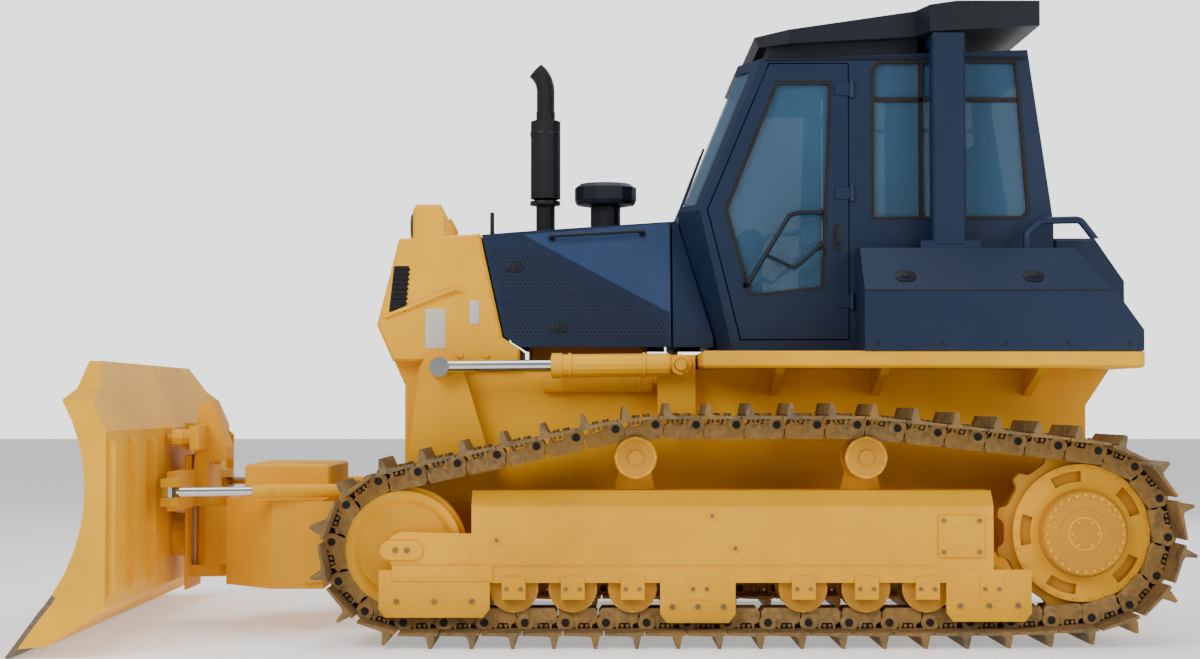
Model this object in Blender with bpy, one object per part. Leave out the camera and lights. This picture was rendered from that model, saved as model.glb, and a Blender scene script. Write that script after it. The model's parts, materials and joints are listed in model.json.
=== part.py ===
"""A crawler bulldozer: hull, tracks, cab, engine hood and an angling, tilting blade on a lifting C-frame.

Metres, +Z up. The machine faces -X, its left side faces -Y, and Z = 0 is the ground under the tracks.
Each piece is drawn where it stands, and its object's origin is put on its own joint's axis.
"""

import math

import bmesh
import bpy
from mathutils import Matrix, Vector
from mathutils.geometry import convex_hull_2d

# ---------------------------------------------------------------- driving dimensions
GAP = 0.0003  # between faces that touch
RUN = 0.005  # running clearance between pieces that move past each other
LEFT, RIGHT = -1, 1

# Undercarriage, side view
SPROCKET_X, SPROCKET_Z = 2.195, 0.515
IDLER_X = -0.98
SHOE_PITCH = 0.190
SHOE_COUNT = 46
SPROCKET_TEETH = 13
IDLER_R = 0.274  # where the link rails run
ROLLER_R = 0.095
ROLLER_FLANGE_R = 0.113
ROLLERS_X = (-0.464, -0.19, 0.088, 0.40, 0.882, 1.175, 1.458, 1.756)
CARRIERS_X = (0.103, 1.18)
CARRIER_R = 0.0865
CARRIER_Z = 0.869
LINK_HEIGHT = 0.095  # rail surface to the underside of a shoe
PIN_HEIGHT = 0.066  # rail surface to the centre of a track pin
SHOE_THICK = 0.015
GROUSER_HEIGHT = 0.0575
GROUSER_THICK = 0.022

# Undercarriage, front view
TRACK_GAUGE = 1.90
SHOE_WIDTH = 0.60
RAIL_IN, RAIL_OUT = 0.045, 0.095  # a rail's sides, from the middle of the track
ROLLER_HALF = 0.115
FRAME_HALF = 0.150  # of a track frame
FRAME_WALL = 0.025

# Track frame, side view
FRAME_FRONT, FRAME_REAR = -0.66, 1.765
FRAME_BOTTOM, FRAME_SHOULDER, FRAME_TOP = 0.29, 0.65, 0.715

# Hull and platform
HULL_HALF = 0.47
HULL_BOTTOM, HULL_TOP = 0.39, 1.29
HULL_FRONT, HULL_REAR = -0.85, 2.34
BAY_FRONT, BAY_REAR, BAY_HALF, BAY_FLOOR = -0.62, 0.26, 0.40, 0.74
PLATFORM_HALF = 0.98
PLATFORM_THICK = 0.08
PLATFORM_FRONT, PLATFORM_REAR = 0.42, 2.51

# Radiator guard and hood
GUARD_HALF = 0.52
GUARD_FOOT_HALF = 0.43  # lower down it is narrower, between the arms of the C-frame
GUARD_NOSE_X = -1.16
HOOD_HALF = 0.50
HOOD_HINGE_Y = 0.36
HOOD_SKIN = 0.02
HOOD_FRONT_X, HOOD_TOP_Z, HOOD_SLOPE = -0.645, 1.955, 0.0806
HOOD_BOTTOM = 1.40
HOOD_SPLIT_X = 0.30  # the engine doors end here and the fixed cowl begins

# Cab
CAB_HALF = 0.62
CAB_WALL = 0.045
CAB_NOSE = 0.10  # how far the middle of the front stands ahead of its sides
CAB_NOSE_HALF = 0.39
CAB_TOP = 2.856
DOOR_REAR_X = 1.158
DOOR_FRONT_MARGIN = 0.035
GLASS = 0.008
ROOF_HALF = 0.80
ROOF_TOP = 3.065
POST_IN, POST_OUT = 0.68, 0.80
POST_FRONT, POST_REAR = 1.54, 1.70

# Fenders and tank
FENDER_FRONT = 1.187
FENDER_TOP_HALF = 0.80
FENDER_TOP, FENDER_SHOULDER = 1.87, 1.66

# Blade
BLADE_WIDTH = 3.275
BLADE_TIP_X = -2.6766
BLADE_R = 0.82
BLADE_CENTRE = (-3.151, 0.74)
BLADE_BACK_X = -2.239
BLADE_TOP = 1.32
EDGE_THICK = 0.022
EDGE_TOP = 0.28

# C-frame and its joints
LIFT_PIVOT = (0.34, 0.50)  # x, z
ARM_IN, ARM_OUT = 0.535, 0.625
LEVER_THICK = 0.055
LEVER_PIN = (-0.84, 1.30)  # x, z
PIVOT_R = 0.055
KING_X = -2.04
KING_R = 0.05
TILT_Z = 0.45
TILT_R = 0.05

# Cylinders
LIFT_BASE = (0.33, 1.31)  # x, z
LIFT_Y = 0.655
LIFT_BARREL_R, LIFT_ROD_R, LIFT_BARREL_LENGTH = 0.056, 0.030, 0.63
ANGLE_BASE = (-1.09, 0.495)  # x, y
ANGLE_EYE = (-2.127, 0.78)  # x, y
ANGLE_Z = 0.697
EAR_REACH = 0.052  # of the angle rod's lugs, behind their pin
ANGLE_BARREL_R, ANGLE_ROD_R, ANGLE_BARREL_LENGTH = 0.0325, 0.0225, 0.68
TILT_BASE_Y, TILT_EYE_Y, TILT_CYLINDER_Z, TILT_CYLINDER_X = -0.30, 0.35, 0.95, -2.172
TILT_BARREL_R, TILT_ROD_R, TILT_BARREL_LENGTH = 0.0425, 0.025, 0.40
ROD_LENGTH = {"lift": 0.75, "angle": 0.62, "tilt": 0.40}  # from its eye back

# Numbers of sides on round pieces
FINE, MEDIUM, COARSE = 20, 14, 8

# ---------------------------------------------------------------- worked out from them
TRACK_Y = TRACK_GAUGE / 2
SHOE_HEIGHT = LINK_HEIGHT + SHOE_THICK  # rail surface to the outer face of a shoe
RAIL_Z = GROUSER_HEIGHT + SHOE_HEIGHT  # the rail surface along the ground
ROLLER_Z = RAIL_Z + ROLLER_R
IDLER_Z = RAIL_Z + IDLER_R
SPROCKET_PIN_R = SHOE_PITCH / (2 * math.sin(math.pi / SPROCKET_TEETH))
SPROCKET_RAIL_R = SPROCKET_PIN_R - PIN_HEIGHT
FRAME_IN = TRACK_Y - FRAME_HALF
FRAME_OUT = TRACK_Y + FRAME_HALF
PLATFORM_Z = HULL_TOP + GAP
CAB_Z = PLATFORM_Z + PLATFORM_THICK + GAP
BLADE_HALF = BLADE_WIDTH / 2
FENDER_IN = CAB_HALF + GAP

# ---------------------------------------------------------------- colours: name, base colour, roughness, metallic
FINISHES = {
    "yellow_paint": ((0.62, 0.34, 0.018), 0.45, 0.0),
    "dusty_yellow": ((0.36, 0.19, 0.03), 0.75, 0.0),
    "navy_paint": ((0.013, 0.033, 0.072), 0.35, 0.0),
    "black_paint": ((0.008, 0.012, 0.02), 0.45, 0.0),
    "worn_steel": ((0.17, 0.10, 0.035), 0.7, 0.4),
    "cast_iron": ((0.12, 0.09, 0.05), 0.8, 0.3),
    "chrome_rod": ((0.55, 0.55, 0.55), 0.15, 1.0),
    "cutting_steel": ((0.10, 0.085, 0.07), 0.5, 0.8),
    "tinted_glass": ((0.06, 0.14, 0.21), 0.05, 0.0),
    "seat_fabric": ((0.02, 0.02, 0.022), 0.9, 0.0),
    "dark_plastic": ((0.015, 0.015, 0.017), 0.5, 0.0),
}


# ---------------------------------------------------------------- making solids
def clear_scene():
    for old in list(bpy.data.objects):
        bpy.data.objects.remove(old, do_unlink=True)


def finish(name):
    """The material of this name, made on its first use."""
    found = bpy.data.materials.get(name)
    if found:
        return found
    colour, roughness, metallic = FINISHES[name]
    made = bpy.data.materials.new(name)
    made.use_nodes = True
    shader = made.node_tree.nodes["Principled BSDF"]
    shader.inputs["Base Color"].default_value = (*colour, 1.0)
    shader.inputs["Roughness"].default_value = roughness
    shader.inputs["Metallic"].default_value = metallic
    return made


def mesh_of(bm):
    bmesh.ops.remove_doubles(bm, verts=bm.verts, dist=1e-6)
    bmesh.ops.recalc_face_normals(bm, faces=bm.faces)
    mesh = bpy.data.meshes.new("shape")
    bm.to_mesh(mesh)
    bm.free()
    return mesh


def block(x, y, z, bevel=0.0):
    """A box from its three pairs of limits, its edges cut back by bevel."""
    bm = bmesh.new()
    size = [pair[1] - pair[0] for pair in (x, y, z)]
    middle = [(pair[0] + pair[1]) / 2 for pair in (x, y, z)]
    place = Matrix.Translation(middle) @ Matrix.Diagonal((*size, 1.0))
    bmesh.ops.create_cube(bm, size=1.0, matrix=place)
    if bevel:
        bmesh.ops.bevel(bm, geom=bm.edges[:], offset=bevel, segments=1, profile=0.5, affect="EDGES", material=-1)
    return mesh_of(bm)


PLANES = {  # how a plane's two coordinates and the depth become x, y, z
    "xz": lambda u, v, depth: (u, depth, v),
    "yz": lambda u, v, depth: (depth, u, v),
    "xy": lambda u, v, depth: (u, v, depth),
}


def slab(plane, outline, start, end, bevel=0.0):
    """An outline in a plane, pushed from start to end across it. Bevel cuts back the edges of both faces."""
    bm = bmesh.new()
    place = PLANES[plane]
    near = bm.faces.new([bm.verts.new(place(u, v, start)) for u, v in outline])
    pushed = bmesh.ops.extrude_face_region(bm, geom=[near])
    shift = Vector(place(0.0, 0.0, end - start))
    bmesh.ops.translate(bm, vec=shift, verts=[v for v in pushed["geom"] if isinstance(v, bmesh.types.BMVert)])
    if bevel:
        depths = {"xz": 1, "yz": 0, "xy": 2}[plane]
        rims = [e for e in bm.edges if abs(e.verts[0].co[depths] - e.verts[1].co[depths]) < 1e-9]
        bmesh.ops.bevel(bm, geom=rims, offset=bevel, segments=1, profile=0.5, affect="EDGES", material=-1)
    return mesh_of(bm)


def mirrored_slab(plane, outline, side, near, far, bevel=0.0):
    """A slab on one side of the machine, between two distances from its middle."""
    return slab(plane, outline, *sorted((side * near, side * far)), bevel)


AXES = {"x": Vector((1, 0, 0)), "y": Vector((0, 1, 0)), "z": Vector((0, 0, 1))}


def turned(profile, origin, axis, sides):
    """A profile of (along, radius) pairs turned about an axis."""
    direction = AXES[axis] if isinstance(axis, str) else Vector(axis).normalized()
    across = direction.orthogonal().normalized() if direction.z or direction.x * direction.y else Vector((0, 0, 1))
    other = direction.cross(across)
    bm = bmesh.new()
    rings = []
    for along, radius in profile:
        centre = Vector(origin) + direction * along
        if radius < 1e-9:
            rings.append([bm.verts.new(centre)] * sides)
            continue
        ring = []
        for step in range(sides):
            angle = 2 * math.pi * step / sides
            spoke = across * math.cos(angle) + other * math.sin(angle)
            ring.append(bm.verts.new(centre + spoke * radius))
        rings.append(ring)
    for low, high in zip(rings, rings[1:]):
        for step in range(sides):
            after = (step + 1) % sides
            corners = dict.fromkeys((low[step], low[after], high[after], high[step]))
            if len(corners) > 2:
                bm.faces.new(list(corners))
    return mesh_of(bm)


def rod(origin, axis, start, end, radius, sides=MEDIUM, bevel=0.0):
    """A round bar along an axis, its ends chamfered by bevel."""
    profile = [(start, 0.0), (start, radius - bevel), (start + bevel, radius)]
    profile += [(end - bevel, radius), (end, radius - bevel), (end, 0.0)]
    if not bevel:
        profile = [(start, 0.0), (start, radius), (end, radius), (end, 0.0)]
    return turned(profile, origin, axis, sides)


def bore_radius(radius, sides):
    """The corner radius of a many-sided bore in which a pin of this radius turns freely."""
    return (radius + 0.001) / math.cos(math.pi / sides)


def pipe(points, radius, sides=3):
    """A bent round bar through the points, as a curve with closed ends, made a mesh."""
    curve = bpy.data.curves.new("route", "CURVE")
    curve.dimensions = "3D"
    curve.bevel_depth = radius
    curve.bevel_resolution = sides
    curve.use_fill_caps = True
    spline = curve.splines.new("POLY")
    spline.points.add(len(points) - 1)
    for point, place in zip(spline.points, points):
        point.co = (*place, 1.0)
    holder = bpy.data.objects.new("route", curve)
    bpy.context.scene.collection.objects.link(holder)
    bpy.context.view_layer.update()
    mesh = bpy.data.meshes.new_from_object(holder.evaluated_get(bpy.context.evaluated_depsgraph_get()))
    bpy.data.objects.remove(holder)
    bpy.data.curves.remove(curve)
    bm = bmesh.new()
    bm.from_mesh(mesh)
    bpy.data.meshes.remove(mesh)
    return mesh_of(bm)


def rounded(points, radius, steps=4):
    """A route with its inner corners rounded by arcs of about this radius."""
    made = [Vector(points[0])]
    for before, corner, after in zip(points, points[1:], points[2:]):
        corner = Vector(corner)
        arrive = (Vector(before) - corner).normalized()
        leave = (Vector(after) - corner).normalized()
        half = arrive.angle(leave) / 2
        back = radius / math.tan(half)
        for step in range(steps + 1):
            t = step / steps
            made.append(corner + arrive * back * (1 - t) ** 2 + leave * back * t**2)
    made.append(Vector(points[-1]))
    return made


def arc(centre, radius, start, end, steps):
    """Points along an arc, angles in degrees."""
    made = []
    for step in range(steps + 1):
        angle = math.radians(start + (end - start) * step / steps)
        made.append((centre[0] + radius * math.cos(angle), centre[1] + radius * math.sin(angle)))
    return made


def rounded_rectangle(u, v, radius, steps=3):
    """The outline of a rectangle with round corners."""
    corners = ((u[1], v[1], 0), (u[0], v[1], 90), (u[0], v[0], 180), (u[1], v[0], 270))
    made = []
    for cu, cv, turn in corners:
        inward = (cu - math.copysign(radius, cu - sum(u) / 2), cv - math.copysign(radius, cv - sum(v) / 2))
        made += arc(inward, radius, turn, turn + 90, steps)
    return made


def inset(outline, distance):
    """The outline moved inwards by a distance, its edges kept parallel."""
    area = sum(a[0] * b[1] - b[0] * a[1] for a, b in zip(outline, outline[1:] + outline[:1]))
    turn = 1 if area > 0 else -1
    made = []
    for before, corner, after in zip(outline[-1:] + outline[:-1], outline, outline[1:] + outline[:1]):
        first = Vector((corner[0] - before[0], corner[1] - before[1])).normalized()
        second = Vector((after[0] - corner[0], after[1] - corner[1])).normalized()
        normals = [Vector((-side.y, side.x)) * turn for side in (first, second)]
        middle = (normals[0] + normals[1]).normalized()
        reach = distance / middle.dot(normals[0])
        made.append((corner[0] + middle.x * reach, corner[1] + middle.y * reach))
    return made


def combine(base, others, operation):
    """The base mesh with the other meshes joined to it or cut from it."""
    if not others:
        return base
    scene = bpy.context.scene.collection
    group = bpy.data.collections.new("tools")
    holder = bpy.data.objects.new("base", base)
    scene.objects.link(holder)
    tools = [bpy.data.objects.new("tool", mesh) for mesh in others]
    for tool in tools:
        group.objects.link(tool)
    change = holder.modifiers.new("combine", "BOOLEAN")
    change.operation = operation
    change.operand_type = "COLLECTION"
    change.collection = group
    change.solver = "EXACT"
    bpy.context.view_layer.update()
    made = bpy.data.meshes.new_from_object(holder.evaluated_get(bpy.context.evaluated_depsgraph_get()))
    for used in [holder, *tools]:
        mesh = used.data
        bpy.data.objects.remove(used)
        bpy.data.meshes.remove(mesh)
    bpy.data.collections.remove(group)
    return made


def node(name, material, shapes, cuts=(), origin=(0.0, 0.0, 0.0), smooth=False):
    """One named piece: the shapes joined, the cuts taken out, and its origin put on its joint's axis."""
    mesh = combine(shapes[0], list(shapes[1:]), "UNION")
    mesh = combine(mesh, list(cuts), "DIFFERENCE")
    mesh.transform(Matrix.Translation(-Vector(origin)))
    mesh.name = name
    mesh.materials.clear()
    mesh.materials.append(finish(material))
    if smooth:
        mesh.shade_smooth()
        mesh.set_sharp_from_angle(angle=math.radians(35))
    made = bpy.data.objects.new(name, mesh)
    made.location = origin
    bpy.context.scene.collection.objects.link(made)
    return made


def hand(side):
    return "left" if side == LEFT else "right"


# ---------------------------------------------------------------- undercarriage
WHEELS = [  # x, z and rail radius of what the track runs round, and its number of sides
    (IDLER_X, IDLER_Z, IDLER_R, FINE),
    (SPROCKET_X, SPROCKET_Z, SPROCKET_RAIL_R, FINE),
    *((x, CARRIER_Z, CARRIER_R, COARSE) for x in CARRIERS_X),
    *((x, ROLLER_Z, ROLLER_R, COARSE) for x in (ROLLERS_X[0], ROLLERS_X[-1])),
]


def track_line(height):
    """The closed line that runs this high above the rail surface, as (x, z) points."""
    points = []
    for x, z, radius, sides in WHEELS:
        points += arc((x, z), radius + height, 90, 90 + 360 * (sides - 1) / sides, sides - 1)
    return [points[i] for i in convex_hull_2d(points)]


def pin_places():
    """The track pins, evenly spaced along the line at pin height."""
    line = track_line(PIN_HEIGHT)
    runs = list(zip(line, line[1:] + line[:1]))
    step = sum(math.dist(a, b) for a, b in runs) / SHOE_COUNT
    made, travelled = [], 0.0
    for a, b in runs:
        length = math.dist(a, b)
        while len(made) * step < travelled + length - 1e-9:
            t = (len(made) * step - travelled) / length
            made.append((a[0] + (b[0] - a[0]) * t, a[1] + (b[1] - a[1]) * t))
        travelled += length
    return made[:SHOE_COUNT]


def shoe_outline():
    """The outside of the ring of shoes, with a grouser near the end of each shoe."""
    pins = pin_places()
    face = SHOE_HEIGHT - PIN_HEIGHT
    outline = []
    for a, b in zip(pins, pins[1:] + pins[:1]):
        along = Vector((b[0] - a[0], b[1] - a[1]))
        length = along.length
        along.normalize()
        out = Vector((along.y, -along.x))
        grouser = 0.66 * length + GROUSER_THICK
        steps = ((0.10 * length, 0.0), (0.62 * length, 0.0), (grouser, GROUSER_HEIGHT), (0.80 * length, 0.0))
        for reach, height in steps:
            outline.append(tuple(Vector(a) + along * reach + out * (face + height)))
    return outline


def ring(outer, inner, y):
    """A band between two outlines in side view."""
    return combine(slab("xz", outer, *y), [slab("xz", inner, y[0] - 0.01, y[1] + 0.01)], "DIFFERENCE")


def track(side):
    middle = side * TRACK_Y
    across = (middle - SHOE_WIDTH / 2, middle + SHOE_WIDTH / 2)
    shapes = [ring(shoe_outline(), track_line(LINK_HEIGHT), across)]
    for lateral in (LEFT, RIGHT):
        rails = sorted((middle + lateral * RAIL_IN, middle + lateral * RAIL_OUT))
        shapes.append(ring(track_line(LINK_HEIGHT + SHOE_THICK / 2), track_line(GAP), rails))
    node(f"track_{hand(side)}", "worn_steel", shapes)


def sprocket(side):
    """A toothed rim between the rails, on a hub bolted to the final drive."""
    middle = side * TRACK_Y
    tip, root = SPROCKET_PIN_R + 0.004, SPROCKET_PIN_R - 0.034
    teeth = []
    for tooth in range(SPROCKET_TEETH):
        for share, radius in ((-0.30, root), (-0.12, tip), (0.12, tip), (0.30, root)):
            angle = 2 * math.pi * (tooth + share) / SPROCKET_TEETH
            teeth.append((SPROCKET_X + radius * math.cos(angle), SPROCKET_Z + radius * math.sin(angle)))
    rim = slab("xz", teeth, middle - 0.03, middle + 0.03)
    profile = [(-0.0897, 0.0), (-0.0897, 0.20), (-0.02, 0.30), (0.045, 0.30), (0.055, 0.208)]
    profile += [(0.125, 0.208), (0.135, 0.195), (0.135, 0.0)]
    disc = turned(profile, (SPROCKET_X, middle, SPROCKET_Z), (0, side, 0), FINE)
    node(f"sprocket_{hand(side)}", "cast_iron", [disc, rim], smooth=True)


def idler(side):
    middle = side * TRACK_Y
    half = [(0.12, 0.0), (0.12, 0.08), (0.06, 0.09), (0.06, 0.225), (0.095, 0.24), (0.095, IDLER_R)]
    half += [(0.04, IDLER_R), (0.04, IDLER_R + 0.02)]
    profile = half + [(-along, radius) for along, radius in reversed(half)]
    wheel = turned(profile, (IDLER_X, middle, IDLER_Z), "y", FINE)
    node(f"idler_{hand(side)}", "dusty_yellow", [wheel], smooth=True)


def roller(x, middle, z, radius, flange, shaft_from, shaft_to):
    """A bottom or carrier roller, flanged outside the rails, with its shaft."""
    half = [(ROLLER_HALF, flange), (RAIL_OUT + RUN, flange), (RAIL_OUT + RUN, radius)]
    profile = [(-along, reach) for along, reach in half] + list(reversed(half))
    profile = [(profile[0][0], 0.0), *profile, (profile[-1][0], 0.0)]
    return [
        turned(profile, (x, middle, z), "y", COARSE),
        rod((x, middle, z), "y", shaft_from, shaft_to, 0.035, COARSE),
    ]


def track_frame(side):
    """A box frame with its rollers, idler yoke, carrier brackets and guards."""
    middle = side * TRACK_Y
    near, far = FRAME_HALF, -FRAME_HALF  # the outer and the inner side, from the middle
    section = [(far, FRAME_SHOULDER - 0.28), (near, FRAME_SHOULDER - 0.28), (near, FRAME_SHOULDER)]
    section += [(near - 0.07, FRAME_TOP), (far + 0.02, FRAME_TOP), (far, FRAME_TOP - 0.02)]
    section = [(middle + side * y, z) for y, z in section]
    shapes = [slab("yz", section, FRAME_FRONT, FRAME_REAR)]
    hub = 0.12 + GAP  # half the width of the idler's hub
    for lateral in (LEFT, RIGHT):
        wall = sorted((middle + lateral * FRAME_HALF, middle + lateral * (FRAME_HALF - FRAME_WALL)))
        shapes.append(block((FRAME_FRONT + 0.001, FRAME_REAR - 0.001), wall, (FRAME_BOTTOM, FRAME_SHOULDER - 0.1)))
        yoke = sorted((middle + lateral * (FRAME_HALF - 0.003), middle + lateral * hub))
        arm = [(FRAME_FRONT + 0.03, IDLER_Z + 0.075), (FRAME_FRONT + 0.03, IDLER_Z - 0.11)]
        arm += arc((IDLER_X, IDLER_Z), 0.085, 270, 90, 5)
        shapes.append(slab("xz", arm, *yoke))
    for x in ROLLERS_X:
        shapes += roller(x, middle, ROLLER_Z, ROLLER_R, ROLLER_FLANGE_R, -FRAME_HALF + 0.005, FRAME_HALF - 0.005)
        for lateral in (LEFT, RIGHT):
            collar = sorted((middle + lateral * (ROLLER_HALF - 0.003), middle + lateral * (FRAME_HALF + 0.008)))
            shapes.append(block((x - 0.055, x + 0.055), collar, (ROLLER_Z - 0.05, FRAME_BOTTOM + 0.03)))
    for x in CARRIERS_X:
        reach = (-FRAME_HALF + 0.02, ROLLER_HALF + 0.01)
        shaft = sorted(side * y for y in reach)
        shapes += roller(x, middle, CARRIER_Z, CARRIER_R, CARRIER_R + 0.012, *shaft)
        post = sorted((middle - side * (FRAME_HALF - 0.005), middle - side * (ROLLER_HALF + 0.005)))
        upright = [(x - 0.10, FRAME_TOP - 0.02), (x + 0.10, FRAME_TOP - 0.02)]
        upright += arc((x, CARRIER_Z), 0.06, 0, 180, 5)
        shapes.append(slab("xz", upright, *post))
    guards = (  # front, rear and bottom of each plate that keeps stones from the rollers
        (-1.09, -0.575, 0.13),
        (0.216, 0.565, 0.105),
        (1.545, 1.94, 0.11),
    )
    for front, rear, bottom in guards:
        plate = [(front + 0.03, bottom), (rear - 0.03, bottom), (rear, bottom + 0.04), (rear, FRAME_BOTTOM + 0.06)]
        plate += [(front, FRAME_BOTTOM + 0.06), (front, bottom + 0.04)]
        shapes.append(mirrored_slab("xz", plate, side, TRACK_Y + FRAME_HALF - 0.02, FRAME_OUT + 0.004))
    access = block((1.51, 1.72), sorted((side * (FRAME_OUT - 0.01), side * (FRAME_OUT + 0.012))), (0.41, 0.60))
    shapes.append(access)
    node(f"track_frame_{hand(side)}", "yellow_paint", shapes)


# ---------------------------------------------------------------- hull
def cab_front_x(y, z):
    """How far forward the cab's front stands at this half width and height, below its middle rail."""
    side_x = 0.587 - 0.2396 * (z - 1.398)
    step = (CAB_HALF - max(abs(y), CAB_NOSE_HALF)) / (CAB_HALF - CAB_NOSE_HALF)
    return side_x - CAB_NOSE * step


def main_frame():
    """The hull, with its engine bay, final drive cases, track pivots, blade trunnions and lift brackets."""
    outline = [(HULL_FRONT, HULL_BOTTOM), (HULL_REAR - 0.10, HULL_BOTTOM), (HULL_REAR, HULL_BOTTOM + 0.12)]
    outline += [(HULL_REAR, 1.11), (HULL_REAR + 0.12, HULL_TOP), (HULL_FRONT, HULL_TOP)]
    shapes = [slab("xz", outline, -HULL_HALF, HULL_HALF)]
    cuts = [block((BAY_FRONT, BAY_REAR), (-BAY_HALF, BAY_HALF), (BAY_FLOOR, HULL_TOP + 0.1))]
    for side in (LEFT, RIGHT):
        across = (0, side, 0)
        inner = HULL_HALF - 0.02
        final_drive = [(inner, 0.0), (inner, 0.30), (0.60, 0.29), (0.64, 0.25), (TRACK_Y - 0.09, 0.23)]
        final_drive.append((TRACK_Y - 0.09, 0.0))
        shapes.append(turned(final_drive, (SPROCKET_X, 0, SPROCKET_Z), across, FINE))
        shapes.append(rod((1.32, 0, 0.51), across, inner, FRAME_IN - GAP, 0.085, MEDIUM))
        shapes.append(rod((LIFT_PIVOT[0], 0, LIFT_PIVOT[1]), across, inner, ARM_IN - GAP, 0.11, MEDIUM))
        shapes.append(rod((LIFT_PIVOT[0], 0, LIFT_PIVOT[1]), across, inner - 0.03, ARM_OUT + 0.012, PIVOT_R, MEDIUM))
        cheek_rear = PLATFORM_FRONT - 0.015
        cheek = [(0.22, 1.07), (cheek_rear, 1.07), (cheek_rear, 1.36), (0.25, 1.36), (0.22, 1.30)]
        inside = LIFT_Y - LIFT_BARREL_R - 0.004
        shapes.append(mirrored_slab("xz", cheek, side, inner, inside))
        pin_end = LIFT_Y + LIFT_BARREL_R + 0.014
        shapes.append(rod((LIFT_BASE[0], 0, LIFT_BASE[1]), across, inside - 0.02, LIFT_Y - 0.04 - GAP, 0.044, MEDIUM))
        shapes.append(rod((LIFT_BASE[0], 0, LIFT_BASE[1]), across, inside - 0.01, pin_end, 0.03, COARSE))
    node("main_frame", "yellow_paint", shapes, cuts)


def platform():
    """The deck plate that the cab and the fenders stand on."""
    deck = block((PLATFORM_FRONT, PLATFORM_REAR), (-PLATFORM_HALF, PLATFORM_HALF),
                 (PLATFORM_Z, PLATFORM_Z + PLATFORM_THICK), 0.012)
    ribs = []
    for side in (LEFT, RIGHT):
        brace = [(side * (HULL_HALF + 0.002), 1.16), (side * (HULL_HALF + 0.002), PLATFORM_Z + 0.02)]
        brace += [(side * 0.90, PLATFORM_Z + 0.02), (side * 0.80, PLATFORM_Z - 0.03)]
        ribs += [slab("yz", brace, x - 0.02, x + 0.02) for x in (0.80, 1.30, 2.05)]
    node("platform", "yellow_paint", [deck, *ribs])


def engine_block():
    low, high = BAY_FLOOR + GAP, 1.72
    lower = block((-0.44, 0.20), (-0.26, 0.26), (low, 1.20), 0.02)
    upper = block((-0.42, 0.18), (-0.20, 0.20), (1.18, high), 0.02)
    node("engine_block", "dusty_yellow", [lower, upper])


def equalizer_bar():
    top = HULL_BOTTOM - GAP
    outline = [(-FRAME_IN + GAP, top - 0.02), (-0.3, top), (0.3, top), (FRAME_IN - GAP, top - 0.02)]
    outline += [(FRAME_IN - GAP, top - 0.10), (0.2, top - 0.14), (-0.2, top - 0.14), (-FRAME_IN + GAP, top - 0.10)]
    node("equalizer_bar", "dusty_yellow", [slab("yz", outline, 0.54, 0.68, 0.01)])


def rear_hitch():
    """The drawbar block on the back of the hull, with its jaw."""
    front = HULL_REAR + GAP
    body = block((front, front + 0.10), (-0.22, 0.22), (HULL_BOTTOM + 0.13, 0.86), 0.01)
    jaws = [block((front + 0.09, front + 0.27), (-0.11, 0.11), z, 0.01) for z in ((0.55, 0.60), (0.70, 0.75))]
    pin = rod((front + 0.20, 0, 0), "z", 0.53, 0.80, 0.028, COARSE)
    node("rear_hitch", "dusty_yellow", [body, *jaws, pin])


# ---------------------------------------------------------------- radiator guard, hood and engine doors
def hood_z(x):
    return HOOD_TOP_Z + (x + 0.65) * HOOD_SLOPE


def radiator_guard():
    """The heavy nose casting: narrow between the C-frame's arms, wide above them, with two lamp pods."""
    rear = HULL_FRONT - GAP
    foot = [(-1.028, 0.45), (rear, 0.45), (rear, 1.45), (-1.10, 1.45), (-1.10, 1.374), (-1.028, 1.213)]
    top = [(-1.081, 1.33), (rear, 1.33), (rear, HULL_TOP + GAP), (-0.458, HULL_TOP + GAP), (-0.458, 1.392)]
    top += [(-0.541, 1.447), (-0.654, hood_z(-0.65) + 0.004), (-1.052, 1.934), (GUARD_NOSE_X, 1.508)]
    shapes = [
        slab("xz", top, -GUARD_HALF, GUARD_HALF, 0.012),
        slab("xz", foot, -GUARD_FOOT_HALF, GUARD_FOOT_HALF, 0.012),
    ]
    for side in (LEFT, RIGHT):
        pod = [(-0.985, 1.90), (-0.985, 2.08), (-0.965, 2.106), (-0.85, 2.106), (-0.82, 2.05), (-0.82, 1.90)]
        shapes.append(mirrored_slab("xz", pod, side, 0.33, 0.51, 0.012))
    node("radiator_guard", "yellow_paint", shapes, [slab("xz", grille_outline(0.0), -0.38, 0.38)])


def grille_outline(play):
    """The radiator grille's side outline: a plate that follows the guard's front, smaller all round by play."""
    face = [(-1.029, 0.62), (-1.029, 1.213), (-1.162, 1.508), (-1.060, 1.90)]
    back = [(-1.000, 1.90), (-1.095, 1.508), (-0.965, 1.213), (-0.965, 0.62)]
    if play:
        inner = [(x + 0.006, z) for x, z in face]
        outer = [(x - play, z) for x, z in back]
        inner[0], outer[-1] = (inner[0][0], 0.62 + play), (outer[-1][0], 0.62 + play)
        inner[-1], outer[0] = (inner[-1][0] - 0.0, 1.90 - play), (outer[0][0], 1.90 - play)
        return inner + outer
    return [(x - 0.05, z) for x, z in face] + back


def front_grille():
    node("front_grille", "black_paint", [slab("xz", grille_outline(GAP), -0.38 + GAP, 0.38 - GAP)])


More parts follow.
